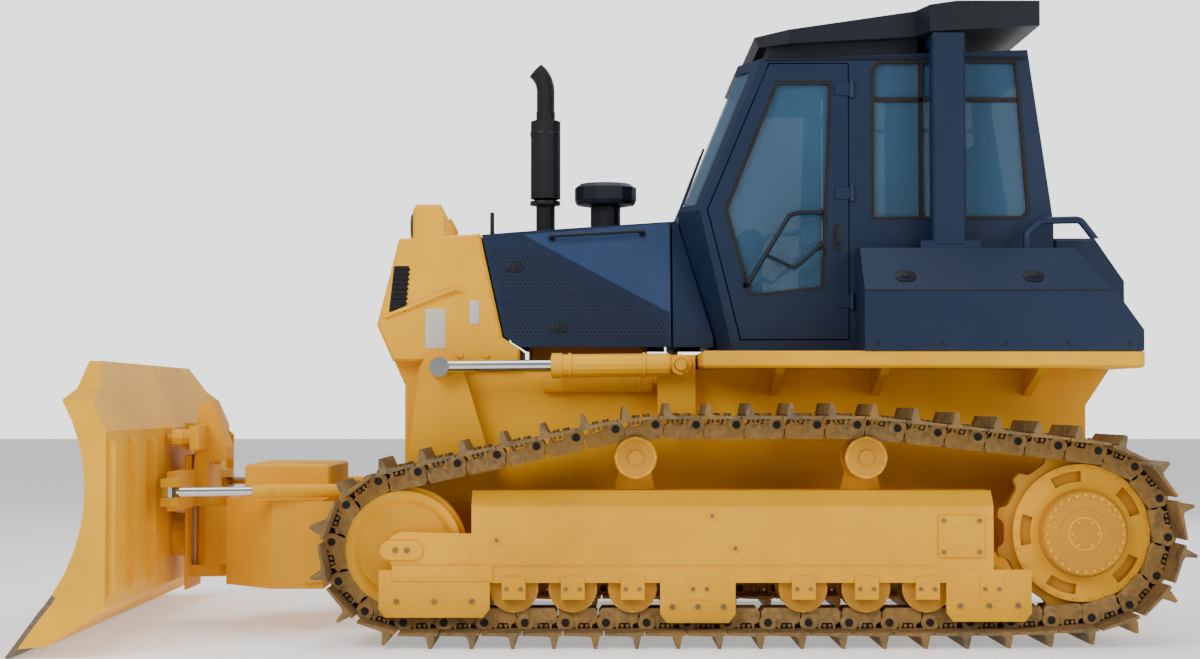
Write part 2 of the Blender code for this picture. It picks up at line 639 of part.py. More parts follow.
def hood_skin(side, front, rear):
    """The hood's side between two places along it: a top margin, a leaning facet and an upright facet."""
    crease_start, crease_end = Vector((-0.46, 1.97)), Vector((0.60, 1.395))
    along = (crease_end - crease_start).normalized()
    up = Vector((-along.y, along.x))

    def lean_y(x, z):
        return HOOD_HALF - 0.295 * max(0.0, (Vector((x, z)) - crease_start).dot(up))

    def crease_z(x):
        return crease_start.y + (x - crease_start.x) * along.y / along.x

    def at(x, y, z):
        return (x, side * y, z)

    low_front = [at(-0.450, HOOD_HALF, HOOD_BOTTOM), at(-0.533, HOOD_HALF, 1.452)] if front < -0.5 else None
    bm = bmesh.new()
    if low_front:
        hinge_front, top_front = at(front, HOOD_HINGE_Y, hood_z(front)), at(front, HOOD_HALF, hood_z(front))
        top_crease = at(-0.46, HOOD_HALF, hood_z(-0.46))
        hinge_rear = at(rear, HOOD_HINGE_Y, hood_z(rear))
        top_rear = at(rear, lean_y(rear, hood_z(rear)), hood_z(rear))
        crease_rear, low_rear = at(rear, HOOD_HALF, crease_z(rear)), at(rear, HOOD_HALF, HOOD_BOTTOM)
        faces = [
            [hinge_front, hinge_rear, top_rear, top_crease, top_front],
            [top_crease, top_rear, crease_rear],
            [top_front, top_crease, crease_rear, low_rear, *low_front],
        ]
    else:
        back_top = cab_front_x(0.37, 2.06) - RUN
        back_low = cab_front_x(HOOD_HALF - 2 * HOOD_SKIN, 1.46) - RUN
        faces = [
            [at(front, 0.30, hood_z(front)), at(back_top - 0.02, 0.30, hood_z(back_top - 0.02)),
             at(back_top, 0.372, hood_z(back_top - 0.02)), at(front, lean_y(front, hood_z(front)), hood_z(front))],
            [at(front, lean_y(front, hood_z(front)), hood_z(front)), at(back_top, 0.372, hood_z(back_top - 0.02)),
             at(back_low, HOOD_HALF, crease_z(back_low)), at(front, HOOD_HALF, crease_z(front))],
            [at(front, HOOD_HALF, crease_z(front)), at(back_low, HOOD_HALF, crease_z(back_low)),
             at(back_low, HOOD_HALF, HOOD_BOTTOM), at(front, HOOD_HALF, HOOD_BOTTOM)],
        ]
    for corners in faces:
        bm.faces.new([bm.verts.new(corner) for corner in corners])
    bmesh.ops.remove_doubles(bm, verts=bm.verts, dist=1e-5)
    bmesh.ops.triangulate(bm, faces=bm.faces[:])
    bmesh.ops.recalc_face_normals(bm, faces=bm.faces)
    outward = sum((face.normal * face.calc_area() for face in bm.faces), Vector())
    if outward.y * side < 0:
        bmesh.ops.reverse_faces(bm, faces=bm.faces)
    bmesh.ops.solidify(bm, geom=bm.faces[:], thickness=HOOD_SKIN)
    return mesh_of(bm)


def engine_door(side):
    """A gull-wing side door of the hood, hinged along its top."""
    hinge = (0.0, side * HOOD_HINGE_Y, hood_z(0.0))
    node(f"engine_door_{hand(side)}", "navy_paint", [hood_skin(side, HOOD_FRONT_X, HOOD_SPLIT_X - 0.010)],
         origin=hinge)


def hood_top():
    """The fixed top cover with the bulkhead and the cowl cheeks in front of the cab."""
    half = HOOD_HINGE_Y - GAP
    front, rear = HOOD_FRONT_X, cab_front_x(0.0, 2.06) - RUN
    cover = [(front, hood_z(front)), (rear, hood_z(rear)), (rear, hood_z(rear) - 0.03), (front, hood_z(front) - 0.03)]
    shapes = [slab("xz", cover, -half, half)]
    right_half = [(0.44, PLATFORM_Z), (0.44, 1.38), (0.485, 1.40), (0.485, 1.52), (0.355, 1.985)]
    bulkhead = right_half + [(-y, z) for y, z in reversed(right_half)]
    shapes.append(slab("yz", bulkhead, HOOD_SPLIT_X + 0.004, HOOD_SPLIT_X + 0.026))
    for side in (LEFT, RIGHT):
        shapes.append(hood_skin(side, HOOD_SPLIT_X, None))
    node("hood_top", "navy_paint", shapes)


def exhaust_stack():
    top = hood_z(-0.34 + 0.049) + GAP
    straight = [(0.0, 0.0), (0.0, 0.049), (2.17 - top, 0.049), (2.18 - top, 0.0775)]
    straight += [(2.58 - top, 0.0775), (2.59 - top, 0.049), (2.63 - top, 0.049), (2.63 - top, 0.0)]
    body = turned(straight, (-0.34, 0, top), "z", MEDIUM)
    spine = arc((-0.475, 2.64), 0.135, 0, 52, 5)
    bend = pipe([(-0.34, 0, 2.60), *((x, 0, z + 0.10) for x, z in spine)], 0.046, 3)
    node("exhaust_stack", "black_paint", [body, bend], smooth=True)


def air_precleaner():
    top = hood_z(-0.03 + 0.0775) + GAP
    profile = [(0.0, 0.0), (0.0, 0.0775), (2.135 - top, 0.0775), (2.147 - top, 0.15), (2.17 - top, 0.16)]
    profile += [(2.235 - top, 0.16), (2.256 - top, 0.13), (2.262 - top, 0.0)]
    node("air_precleaner", "black_paint", [turned(profile, (-0.03, 0, top), "z", MEDIUM)], smooth=True)


# ---------------------------------------------------------------- cab
CAB_SIDE = [  # the cab's side outline, x and z, from the foot of the front round over the roof
    (0.587, CAB_Z),
    (0.426, 2.07),
    (0.73, 2.81),
    (2.035, CAB_TOP),
    (2.157, 2.007),
    (2.157, CAB_Z),
]
FRONT_CORNERS = 3  # how many of them the nose moves forward


def cab_volume(outline, half, nose_half, nose):
    """A closed body with this side outline, whose front stands forward by nose in the middle."""
    bm = bmesh.new()
    rings = []
    for y, forward in ((-half, 0.0), (-nose_half, nose), (nose_half, nose), (half, 0.0)):
        places = [(x - (forward if i < FRONT_CORNERS else 0.0), y, z) for i, (x, z) in enumerate(outline)]
        rings.append([bm.verts.new(place) for place in places])
    bm.faces.new(rings[0])
    bm.faces.new(rings[-1])
    for low, high in zip(rings, rings[1:]):
        for i in range(len(low)):
            after = (i + 1) % len(low)
            bm.faces.new((low[i], low[after], high[after], high[i]))
    return mesh_of(bm)


def door_outline(play):
    """The door in side view, smaller than its opening all round by play."""
    outline = [(0.587, 1.43), (0.426, 2.07), (0.73, 2.79), (DOOR_REAR_X, 2.79), (DOOR_REAR_X, 1.43)]
    outline = [(x + (DOOR_FRONT_MARGIN if i < 3 else 0.0), z) for i, (x, z) in enumerate(outline)]
    return inset(outline, play) if play else outline


def door_window():
    """The glass area of a door."""
    return [(0.665, 1.64), (0.545, 2.07), (0.80, 2.70), (1.075, 2.70), (1.035, 1.68)]


def side_window():
    return [(1.265, 2.02), (1.265, 2.76), (1.31, 2.807), (1.985, 2.807), (2.045, 2.06), (2.01, 2.02)]


REAR_WINDOW = ((-0.46, 0.46), (2.08, 2.74))


def windscreen_sheet(margin, outer, inner):
    """The three-sided front glass above the hood, as a body between two depths from the cab's face."""
    low, high = 2.10, 2.76
    step = Vector((0.73 - 0.426, 2.81 - 2.07)).normalized()
    out = Vector((-step.y, step.x))
    rings = []
    flank = CAB_HALF - 0.065 - margin
    bm = bmesh.new()
    for y in (-flank, -CAB_NOSE_HALF, CAB_NOSE_HALF, flank):
        forward = CAB_NOSE * (CAB_HALF - abs(y)) / (CAB_HALF - CAB_NOSE_HALF)
        ring_points = []
        for z, depth in ((low + margin, outer), (high - margin, outer), (high - margin, inner), (low + margin, inner)):
            x = 0.426 + (z - 2.07) * step.x / step.y - forward
            ring_points.append(bm.verts.new((x + out.x * depth, y, z + out.y * depth)))
        rings.append(ring_points)
    bm.faces.new(rings[0])
    bm.faces.new(rings[-1])
    for first, second in zip(rings, rings[1:]):
        for i in range(4):
            bm.faces.new((first[i], first[(i + 1) % 4], second[(i + 1) % 4], second[i]))
    return mesh_of(bm)


def cab_shell():
    """The hollow cab: floor, pillars and roof sheet, with its doorways and windows cut."""
    body = cab_volume(CAB_SIDE, CAB_HALF, CAB_NOSE_HALF, CAB_NOSE)
    hollow = cab_volume(inset(CAB_SIDE, CAB_WALL), CAB_HALF - CAB_WALL, CAB_NOSE_HALF - 0.02, CAB_NOSE)
    cuts = [hollow, windscreen_sheet(0.0, 0.08, -0.12)]
    for side in (LEFT, RIGHT):
        reach = (CAB_HALF - CAB_WALL - 0.03, CAB_HALF + 0.03)
        cuts.append(mirrored_slab("xz", door_outline(0.0), side, *reach))
        cuts.append(mirrored_slab("xz", side_window(), side, *reach))
    cuts.append(slab("yz", rounded_rectangle(*REAR_WINDOW, 0.06), 1.95, 2.25))
    node("cab_shell", "navy_paint", [body], cuts)


def cab_glass():
    node("windscreen", "tinted_glass", [windscreen_sheet(GAP, -0.012, -0.012 - GLASS)])
    for side in (LEFT, RIGHT):
        pane = mirrored_slab("xz", inset(side_window(), GAP), side, CAB_HALF - 0.02 - GLASS, CAB_HALF - 0.02)
        node(f"side_window_{hand(side)}", "tinted_glass", [pane])
    low, high = 2.08, 2.74
    slope = (2.035 - 2.157) / (CAB_TOP - 2.007)
    (y0, y1), _ = REAR_WINDOW
    pane = slab("yz", inset(rounded_rectangle((y0, y1), (low, high), 0.06), GAP), -0.02 - GLASS, -0.02)
    lean = Matrix.Shear("YZ", 3, (0.0, 0.0)).to_4x4()
    lean[0][2] = slope
    pane.transform(lean)
    pane.transform(Matrix.Translation((2.157 - slope * 2.007, 0, 0)))
    node("rear_window", "tinted_glass", [pane])


def door(side):
    """A cab door hinged at its rear edge, with its glass."""
    hinge = (DOOR_REAR_X + 0.012, side * (CAB_HALF + 0.012), 0.0)
    reach = (CAB_HALF - CAB_WALL + 0.004, CAB_HALF + 0.006)
    panel = mirrored_slab("xz", door_outline(0.006), side, *reach)
    window = mirrored_slab("xz", door_window(), side, reach[0] - 0.02, reach[1] + 0.02)
    place = (hinge[0], hinge[1], 2.0)
    shapes = [panel]
    for z in (1.62, 2.15, 2.66):
        knuckle = rod((hinge[0], hinge[1], z), "z", -0.04, 0.04, 0.012 - GAP, 8)
        strap = block((DOOR_REAR_X - 0.07, hinge[0]), sorted((side * (CAB_HALF + 0.004), side * (CAB_HALF + 0.014))),
                      (z - 0.03, z + 0.03))
        shapes += [knuckle, strap]
    node(f"door_{hand(side)}", "navy_paint", shapes, [window], origin=place)
    pane = mirrored_slab("xz", inset(door_window(), GAP), side, CAB_HALF - 0.02 - GLASS, CAB_HALF - 0.02)
    node(f"door_glass_{hand(side)}", "tinted_glass", [pane], origin=place)


def roof_sheet_z(x):
    """The height of the cab's top in its middle, where the nose stands forward."""
    (front_x, front_z), (rear_x, rear_z) = CAB_SIDE[2], CAB_SIDE[3]
    front_x -= CAB_NOSE
    return front_z + (rear_z - front_z) * (x - front_x) / (rear_x - front_x)


def cab_roof():
    """The canopy over the cab and the roll-over frame, on a shallow rim."""
    top = [(0.70, 2.925), (1.66, ROOF_TOP), (2.06, ROOF_TOP), (2.06, 2.945), (0.72, 2.872)]
    plan = [(0.70, -0.56), (0.86, -0.66), (1.48, -0.66), (1.53, -ROOF_HALF), (2.06, -ROOF_HALF)]
    plan += [(x, -y) for x, y in reversed(plan)]
    canopy = slab("xz", top, -ROOF_HALF - 0.01, ROOF_HALF + 0.01)
    plate = combine(canopy, [combine(block((0.6, 2.2), (-0.9, 0.9), (2.8, 3.2)),
                                     [slab("xy", plan, 2.7, 3.3)], "DIFFERENCE")], "DIFFERENCE")
    rim = [(x, roof_sheet_z(x) + GAP) for x in (0.76, 1.50)] + [(1.50, 2.93), (0.76, 2.90)]
    node("cab_roof", "black_paint", [plate, slab("xz", rim, -0.58, 0.58)])


def rops_frame():
    """The roll-over frame: two posts on the fenders, joined over the cab."""
    shapes = [block((POST_FRONT, POST_REAR), (-POST_OUT + 0.001, POST_OUT - 0.001), (CAB_TOP + 0.004, 2.9145), 0.006)]
    for side in (LEFT, RIGHT):
        across = sorted((side * POST_IN, side * POST_OUT))
        shapes.append(block((POST_FRONT + 0.001, POST_REAR - 0.001), across, (FENDER_TOP + 0.01, 2.91), 0.01))
        foot = sorted((side * (FENDER_IN + 0.02), side * (FENDER_TOP_HALF - 0.003)))
        shapes.append(block((POST_FRONT - 0.06, POST_REAR + 0.07), foot, (FENDER_TOP + GAP, FENDER_TOP + 0.035)))
    node("rops_frame", "navy_paint", shapes)


def cab_inside():
    """The operator's seat in three pieces, and the console with its levers."""
    floor = CAB_Z + CAB_WALL + GAP
    base = block((1.32, 1.72), (-0.20, 0.20), (floor, 1.70), 0.02)
    node("seat_base", "dark_plastic", [base])
    node("seat_cushion", "seat_fabric", [block((1.27, 1.76), (-0.25, 0.25), (1.70 + GAP, 1.83), 0.035)])
    back = [(1.70, 1.83 + GAP), (1.80, 1.83 + GAP), (1.93, 2.42), (1.90, 2.47), (1.86, 2.47), (1.82, 2.42)]
    node("seat_back", "seat_fabric", [slab("xz", back, -0.23, 0.23, 0.02)])
    shapes = [block((0.64, 0.76), (-0.30, 0.30), (floor, 2.00), 0.03)]
    shapes.append(block((0.70, 1.20), (-0.46, -0.30), (floor, 1.50), 0.02))
    shapes.append(block((1.10, 1.80), (-0.46, -0.30), (floor, 1.88), 0.03))
    shapes.append(block((0.70, 1.20), (0.30, 0.46), (floor, 1.50), 0.02))
    shapes.append(block((1.10, 1.80), (0.30, 0.46), (floor, 1.88), 0.03))
    for side in (LEFT, RIGHT):
        stick = [(1.20, side * 0.38, 1.85), (1.18, side * 0.38, 2.05)]
        shapes.append(pipe(stick, 0.018, 2))
    node("control_console", "dark_plastic", shapes)


# ---------------------------------------------------------------- fenders, tank, rails
def fender(side):
    low = CAB_Z
    section = [(FENDER_IN, low), (PLATFORM_HALF - 0.002, low), (PLATFORM_HALF - 0.002, FENDER_SHOULDER)]
    section += [(FENDER_TOP_HALF, FENDER_TOP), (FENDER_IN, FENDER_TOP)]
    section = [(side * y, z) for y, z in section]
    rear = PLATFORM_REAR - 0.004
    box = slab("yz", section, FENDER_FRONT, rear)
    corner = [(2.22, FENDER_TOP + 0.05), (2.22, FENDER_TOP), (rear, 1.47), (rear + 0.1, 1.47)]
    corner.append((rear + 0.1, FENDER_TOP + 0.05))
    cut = mirrored_slab("xz", corner, side, 0.5, 1.1)
    rail = [(2.00, FENDER_TOP - 0.02), (2.00, 1.94), (2.07, 2.005), (2.26, 2.01), (2.46, 1.75), (2.40, 1.62)]
    places = rounded([(x, side * 0.74, z) for x, z in rail], 0.04, 3)
    node(f"fender_{hand(side)}", "navy_paint", [box, pipe(places, 0.018, 2)], [cut])


def fuel_tank():
    front = 2.157 + GAP
    outline = [(front, CAB_Z), (PLATFORM_REAR - 0.006, CAB_Z), (PLATFORM_REAR - 0.006, 1.72)]
    outline += [(2.36, 1.93), (front, 1.93)]
    node("fuel_tank", "navy_paint", [slab("xz", outline, -CAB_HALF, CAB_HALF, 0.015)])


# ---------------------------------------------------------------- C-frame, carrier and blade
def c_frame():
    """The push frame: two arms with their lift levers, a cross box, a kingpin nose and the angle cylinder lugs."""
    box_plan = [(-1.93, -0.30), (-1.66, -0.60), (-1.41, -0.60), (-1.41, 0.60), (-1.66, 0.60), (-1.93, 0.30)]
    deck = block((-1.82, -1.40), (-0.42, 0.42), (0.64, 0.82), 0.01)
    shapes = [slab("xy", box_plan, 0.22, 0.65), deck]
    nose = [(-2.03, 0.30), (-1.90, 0.30), (-1.90, 0.60), (-2.03, 0.60)]
    shapes.append(slab("xz", nose, -0.08, 0.08))
    shapes.append(rod((KING_X, 0, 0), "z", 0.30, 0.60, 0.095, MEDIUM))
    cuts = [rod((KING_X, 0, 0), "z", 0.20, 0.70, bore_radius(KING_R, MEDIUM), MEDIUM)]
    for side in (LEFT, RIGHT):
        arm = [(-1.50, 0.25), (-0.90, 0.33), (-0.10, 0.40), (0.34, 0.385)]
        arm += arc(LIFT_PIVOT, 0.115, -90, 90, 6) + [(-0.10, 0.60), (-0.50, 0.645), (-1.50, 0.645)]
        arm.remove((0.34, 0.385))
        shapes.append(mirrored_slab("xz", arm, side, ARM_IN, ARM_OUT))
        bore = rod((LIFT_PIVOT[0], 0, LIFT_PIVOT[1]), (0, side, 0), ARM_IN - 0.05, ARM_OUT + 0.05,
                   bore_radius(PIVOT_R, MEDIUM), MEDIUM)
        cuts.append(bore)
        lever = [(-1.03, 0.60), (-0.944, 1.30), (-0.91, 1.36), (-0.84, 1.375), (-0.77, 1.36), (-0.734, 1.30)]
        lever += [(-0.52, 0.60)]
        shapes.append(mirrored_slab("xz", lever, side, ARM_IN, ARM_IN + LEVER_THICK))
        boss_end = LIFT_Y - 0.04 - GAP
        shapes.append(rod((LEVER_PIN[0], 0, LEVER_PIN[1]), (0, side, 0), ARM_IN + 0.01, boss_end, 0.055, MEDIUM))
        x, y = ANGLE_BASE
        lug = [(x - 0.10, ARM_IN + 0.02), (x - 0.045, y - 0.03), (x, y - 0.045), (x + 0.045, y - 0.03)]
        lug.append((x + 0.10, ARM_IN + 0.02))
        lug_top = ANGLE_Z - ANGLE_BARREL_R - GAP
        shapes.append(slab("xy", [(u, side * v) for u, v in lug], 0.60, lug_top))
        shapes.append(rod((x, side * y, 0), "z", 0.61, ANGLE_Z + ANGLE_BARREL_R + 0.012, 0.02, COARSE))
        shapes.append(rod((x, side * y, 0), "z", 0.62, ANGLE_Z - 0.025 - GAP, 0.032, COARSE))
    node("c_frame", "yellow_paint", shapes, cuts, origin=(LIFT_PIVOT[0], 0, LIFT_PIVOT[1]))


def blade_carrier():
    """The swinging bracket between the C-frame's kingpin and the blade, with its tower and clevises."""
    front = BLADE_BACK_X + 0.08 + GAP
    top = TILT_CYLINDER_Z - TILT_BARREL_R - 0.045  # the tilt cylinder swings down towards it
    shapes = [block((front, -2.145), (-0.20, 0.20), (0.18, top), 0.006)]
    nose = [(-2.15, -0.09), (-2.15, 0.09), *[(u, v) for u, v in arc((KING_X, 0), 0.08, 90, -90, 6)]]
    for z in ((0.60 + GAP, 0.66), (0.24, 0.30 - GAP)):
        shapes.append(slab("xy", nose, *z))
    shapes.append(rod((KING_X, 0, 0), "z", 0.25, 0.65, KING_R, MEDIUM))
    tower = [(-2.15, 0.66), (-2.107, 1.12), (-2.04, 1.14), (-1.96, 0.90), (-1.96, 0.838), (-2.06, 0.82), (-2.06, 0.655)]
    shapes.append(slab("xz", tower, -0.09, 0.09, 0.005))
    shapes.append(block((-2.107, -2.06), (TILT_BASE_Y - 0.06, 0.0), (TILT_CYLINDER_Z - 0.06, TILT_CYLINDER_Z + 0.06)))
    shapes.append(rod((0, TILT_BASE_Y, TILT_CYLINDER_Z), "x", TILT_CYLINDER_X - TILT_BARREL_R - 0.010, -2.08, 0.02,
                      COARSE))
    shapes.append(rod((0, TILT_BASE_Y, TILT_CYLINDER_Z), "x", TILT_CYLINDER_X + 0.028 + GAP, -2.08, 0.036, COARSE))
    shapes.append(rod((0, 0, TILT_Z), "x", BLADE_BACK_X + 0.018, -2.15, TILT_R, MEDIUM))
    for side in (LEFT, RIGHT):
        across = sorted((side * 0.15, side * 0.66))
        shapes.append(block((-2.17 + 0.011, -2.115), across, (0.60, 0.79)))
        x, y = ANGLE_EYE
        for z in ((ANGLE_Z - 0.025 - GAP - 0.04, ANGLE_Z - 0.025 - GAP), (ANGLE_Z + 0.025 + GAP, ANGLE_Z + 0.065)):
            ear = [(-2.155, 0.60), (-2.155, y + 0.06), (x + 0.02, y + 0.07)]
            ear += [(x + EAR_REACH, y + 0.03), (x + EAR_REACH, y - 0.03), (-2.115, 0.60)]
            shapes.append(slab("xy", [(u, side * v) for u, v in ear], *z))
    node("blade_carrier", "yellow_paint", shapes, origin=(KING_X, 0, TILT_Z))


def blade_face(z):
    return BLADE_CENTRE[0] + math.sqrt(BLADE_R**2 - (z - BLADE_CENTRE[1]) ** 2)


def edge_front():
    """The front line of the cutting edge, from its top bolt line down to its tip."""
    return [(blade_face(z), z) for z in (EDGE_TOP, 0.24, 0.20)] + [(BLADE_TIP_X, 0.004)]


def edge_back(play):
    """The back line of the cutting edge, or the seat it lies on when play is added."""
    front = edge_front()
    made = []
    for i, (x, z) in enumerate(front):
        before, after = front[max(i - 1, 0)], front[min(i + 1, len(front) - 1)]
        along = Vector((after[0] - before[0], after[1] - before[1])).normalized()
        made.append(Vector((x, z)) + Vector((-along.y, along.x)) * (EDGE_THICK + play))
    last, tip = made[-2], made[-1]
    share = (last.y - 0.004) / (last.y - tip.y)
    made[-1] = last + (tip - last) * share
    return [tuple(point) for point in made]


def blade():
    """The moldboard with its boxed back, its ribs, the ball socket and the tilt cylinder's lug."""
    heights = [EDGE_TOP + GAP + (1.137 - EDGE_TOP - GAP) * i / 9 for i in range(10)]
    seat = edge_back(GAP)
    outline = [(-2.40, BLADE_TOP), (-2.44, BLADE_TOP)] + [(blade_face(z), z) for z in reversed(heights)]
    lowest = [top + (tip - top) * 0.78 for top, tip in zip(seat[-2], seat[-1])]
    outline += [*seat[:-1], tuple(lowest)]
    outline += [(-2.49, 0.057), (BLADE_BACK_X, 0.22), (BLADE_BACK_X, 1.0), (-2.38, BLADE_TOP)]
    body = slab("xz", outline, -BLADE_HALF, BLADE_HALF)
    cuts = []
    for side in (LEFT, RIGHT):
        corner = [(BLADE_HALF + 0.1, 1.137), (BLADE_HALF, 1.137), (BLADE_HALF - 0.2875, 1.19)]
        corner += [(BLADE_HALF - 0.5475, BLADE_TOP), (BLADE_HALF - 0.5475, 1.5), (BLADE_HALF + 0.1, 1.5)]
        cuts.append(slab("yz", [(side * y, z) for y, z in corner], -2.6, -2.2))
    shapes = [body]
    shapes.append(rod((0, 0, TILT_Z), "x", BLADE_BACK_X - 0.02, BLADE_BACK_X + 0.08, 0.11, MEDIUM))
    lug_face = TILT_CYLINDER_X - 0.028 - GAP
    lug = block((BLADE_BACK_X - 0.02, lug_face), (TILT_EYE_Y - 0.06, TILT_EYE_Y + 0.06),
                (TILT_CYLINDER_Z - 0.07, TILT_CYLINDER_Z + 0.07))
    shapes.append(lug)
    for side in (LEFT, RIGHT):
        for share in (0.42, 0.70, 0.97):
            y = side * share * BLADE_HALF
            rib = [(BLADE_BACK_X - 0.02, 0.25), (BLADE_BACK_X + 0.035, 0.30), (BLADE_BACK_X + 0.035, 0.94)]
            rib += [(BLADE_BACK_X - 0.02, 0.99)]
            shapes.append(slab("xz", rib, y - 0.012, y + 0.012))
    cuts.append(rod((0, 0, TILT_Z), "x", BLADE_BACK_X + 0.010, -2.10, bore_radius(TILT_R, MEDIUM), MEDIUM))
    node("blade", "yellow_paint", shapes, cuts, origin=(BLADE_BACK_X, 0, TILT_Z))


def cutting_edge():
    outline = edge_front() + list(reversed(edge_back(0.0)))
    node("cutting_edge", "cutting_steel", [slab("xz", outline, -BLADE_HALF, BLADE_HALF)],
         origin=(BLADE_BACK_X, 0, TILT_Z))


# ---------------------------------------------------------------- cylinders
def cylinder(name, base, eye, pin_axis, radius, rod_radius, length, eye_half, pin_radius, tail):
    """A hydraulic cylinder from its base pin to its rod's eye: name_barrel and name_rod."""
    base, eye = Vector(base), Vector(eye)
    along = (eye - base).normalized()
    distance = (eye - base).length
    wall = bore_radius(rod_radius, MEDIUM) + 0.002
    tube = [(tail, 0.0), (tail, radius * 0.9), (tail + 0.01, radius), (length - 0.03, radius)]
    tube += [(length, radius * 0.86), (length, wall), (tail + 0.02, wall), (tail + 0.02, 0.0)]
    body = turned(tube, base, along, MEDIUM)
    ring_base = rod(base, pin_axis, -eye_half, eye_half, pin_radius + 0.022, COARSE)
    neck = rod(base, along, pin_radius * 0.5, tail + 0.008, eye_half * 0.92, COARSE)
    hole = rod(base, pin_axis, -eye_half - 0.05, eye_half + 0.05, bore_radius(pin_radius, COARSE), COARSE)
    node(f"{name}_barrel", "yellow_paint", [body, neck, ring_base], [hole], origin=base)
    shank = rod(base, along, distance - ROD_LENGTH[name.split("_")[0]], distance - 0.02, rod_radius, MEDIUM)
    rod_ring = rod(eye, pin_axis, -eye_half, eye_half, rod_radius + 0.018, MEDIUM)
    node(f"{name}_rod", "chrome_rod", [shank, rod_ring], origin=eye, smooth=True)


def cylinders():
    for side in (LEFT, RIGHT):
        cylinder(f"lift_{hand(side)}", (LIFT_BASE[0], side * LIFT_Y, LIFT_BASE[1]),
                 (LEVER_PIN[0], side * LIFT_Y, LEVER_PIN[1]), "y", LIFT_BARREL_R, LIFT_ROD_R, LIFT_BARREL_LENGTH,
                 0.04, 0.03, 0.05)
        cylinder(f"angle_{hand(side)}", (ANGLE_BASE[0], side * ANGLE_BASE[1], ANGLE_Z),
                 (ANGLE_EYE[0], side * ANGLE_EYE[1], ANGLE_Z), "z", ANGLE_BARREL_R, ANGLE_ROD_R, ANGLE_BARREL_LENGTH,
                 0.025, 0.02, 0.04)
    cylinder("tilt", (TILT_CYLINDER_X, TILT_BASE_Y, TILT_CYLINDER_Z), (TILT_CYLINDER_X, TILT_EYE_Y, TILT_CYLINDER_Z),
             "x", TILT_BARREL_R, TILT_ROD_R, TILT_BARREL_LENGTH, 0.028, 0.02, 0.04)


# ---------------------------------------------------------------- the machine
def build():
    clear_scene()
    for side in (LEFT, RIGHT):
        track(side)
        sprocket(side)
        idler(side)
        track_frame(side)
        engine_door(side)
        door(side)
        fender(side)
    main_frame()
    platform()
    engine_block()
    equalizer_bar()
    rear_hitch()
    radiator_guard()
    front_grille()
    hood_top()
    exhaust_stack()
    air_precleaner()
    cab_shell()
    cab_glass()
    cab_roof()
    rops_frame()
    cab_inside()
    fuel_tank()
    c_frame()
    blade_carrier()
    blade()
    cutting_edge()
    cylinders()


build()
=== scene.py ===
# %% [markdown]
# # A crawler bulldozer
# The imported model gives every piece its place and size. This script gives the machine its looks: real paint and
# steel on the pieces that stay, and finer meshes for those whose plain solids would show, such as the track.

import math

import bmesh
import bpy
from mathutils import Matrix, Vector
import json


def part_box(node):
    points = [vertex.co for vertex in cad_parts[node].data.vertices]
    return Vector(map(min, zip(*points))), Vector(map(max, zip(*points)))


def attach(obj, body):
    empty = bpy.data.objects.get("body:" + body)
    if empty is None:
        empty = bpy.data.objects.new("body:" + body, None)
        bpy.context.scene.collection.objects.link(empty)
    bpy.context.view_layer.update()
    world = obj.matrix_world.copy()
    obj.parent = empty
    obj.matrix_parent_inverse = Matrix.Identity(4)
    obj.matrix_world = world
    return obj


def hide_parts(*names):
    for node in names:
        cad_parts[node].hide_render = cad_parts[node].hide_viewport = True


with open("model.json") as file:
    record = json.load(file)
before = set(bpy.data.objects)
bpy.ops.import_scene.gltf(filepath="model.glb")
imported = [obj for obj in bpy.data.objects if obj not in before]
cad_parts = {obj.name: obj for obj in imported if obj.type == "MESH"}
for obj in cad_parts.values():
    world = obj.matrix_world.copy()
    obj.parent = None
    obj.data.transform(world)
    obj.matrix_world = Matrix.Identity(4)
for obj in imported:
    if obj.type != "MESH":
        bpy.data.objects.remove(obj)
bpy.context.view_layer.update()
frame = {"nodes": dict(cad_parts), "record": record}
NODES = frame["nodes"]
BODY_OF = {node: body for body, nodes in frame["record"]["behaviour"]["bodies"].items() for node in nodes}
SIDES = (("left", -1), ("right", 1))

# %% [markdown]
# ## Camera, floor and light
# The machine is seen from its left side, from about eleven metres, with a lens long enough that the far track
# hardly shrinks. The camera looks up by two degrees, because it stands lower than the machine's middle.

# %% Camera
EYE = (-0.11, -11.2, 1.115)
camera_data = bpy.data.cameras.new("camera")
camera_data.sensor_width = 36.0
camera_data.lens = 65.1
camera = bpy.data.objects.new("camera", camera_data)
camera.location = EYE
camera.rotation_euler = (math.radians(90.0 + 1.99), 0.0, math.radians(-0.264))
bpy.context.scene.collection.objects.link(camera)
bpy.context.scene.camera = camera

# %% [markdown]
# A pale floor and a pale world keep attention on the machine. The world is brighter to look at than it is as a
# light, so the background stays nearly white while the paint keeps its depth. Three large area lights make soft edges: a key
# from the camera's left and above, a fill from the right, and a top light that draws the roof and hood.

# %% Floor and lights
FLOOR_HALF = 60.0
floor_bm = bmesh.new()
bmesh.ops.create_grid(floor_bm, x_segments=1, y_segments=1, size=FLOOR_HALF)
floor_mesh = bpy.data.meshes.new("floor")
floor_bm.to_mesh(floor_mesh)
floor_bm.free()
floor = bpy.data.objects.new("floor", floor_mesh)
bpy.context.scene.collection.objects.link(floor)
floor_paint = bpy.data.materials.new("floor_paint")
floor_paint.use_nodes = True
floor_shader = floor_paint.node_tree.nodes["Principled BSDF"]
floor_shader.inputs["Base Color"].default_value = (0.86, 0.86, 0.85, 1.0)
floor_shader.inputs["Roughness"].default_value = 0.9
floor_shader.inputs["Emission Color"].default_value = (1.0, 1.0, 1.0, 1.0)
floor_shader.inputs["Emission Strength"].default_value = 0.45
floor_mesh.materials.append(floor_paint)

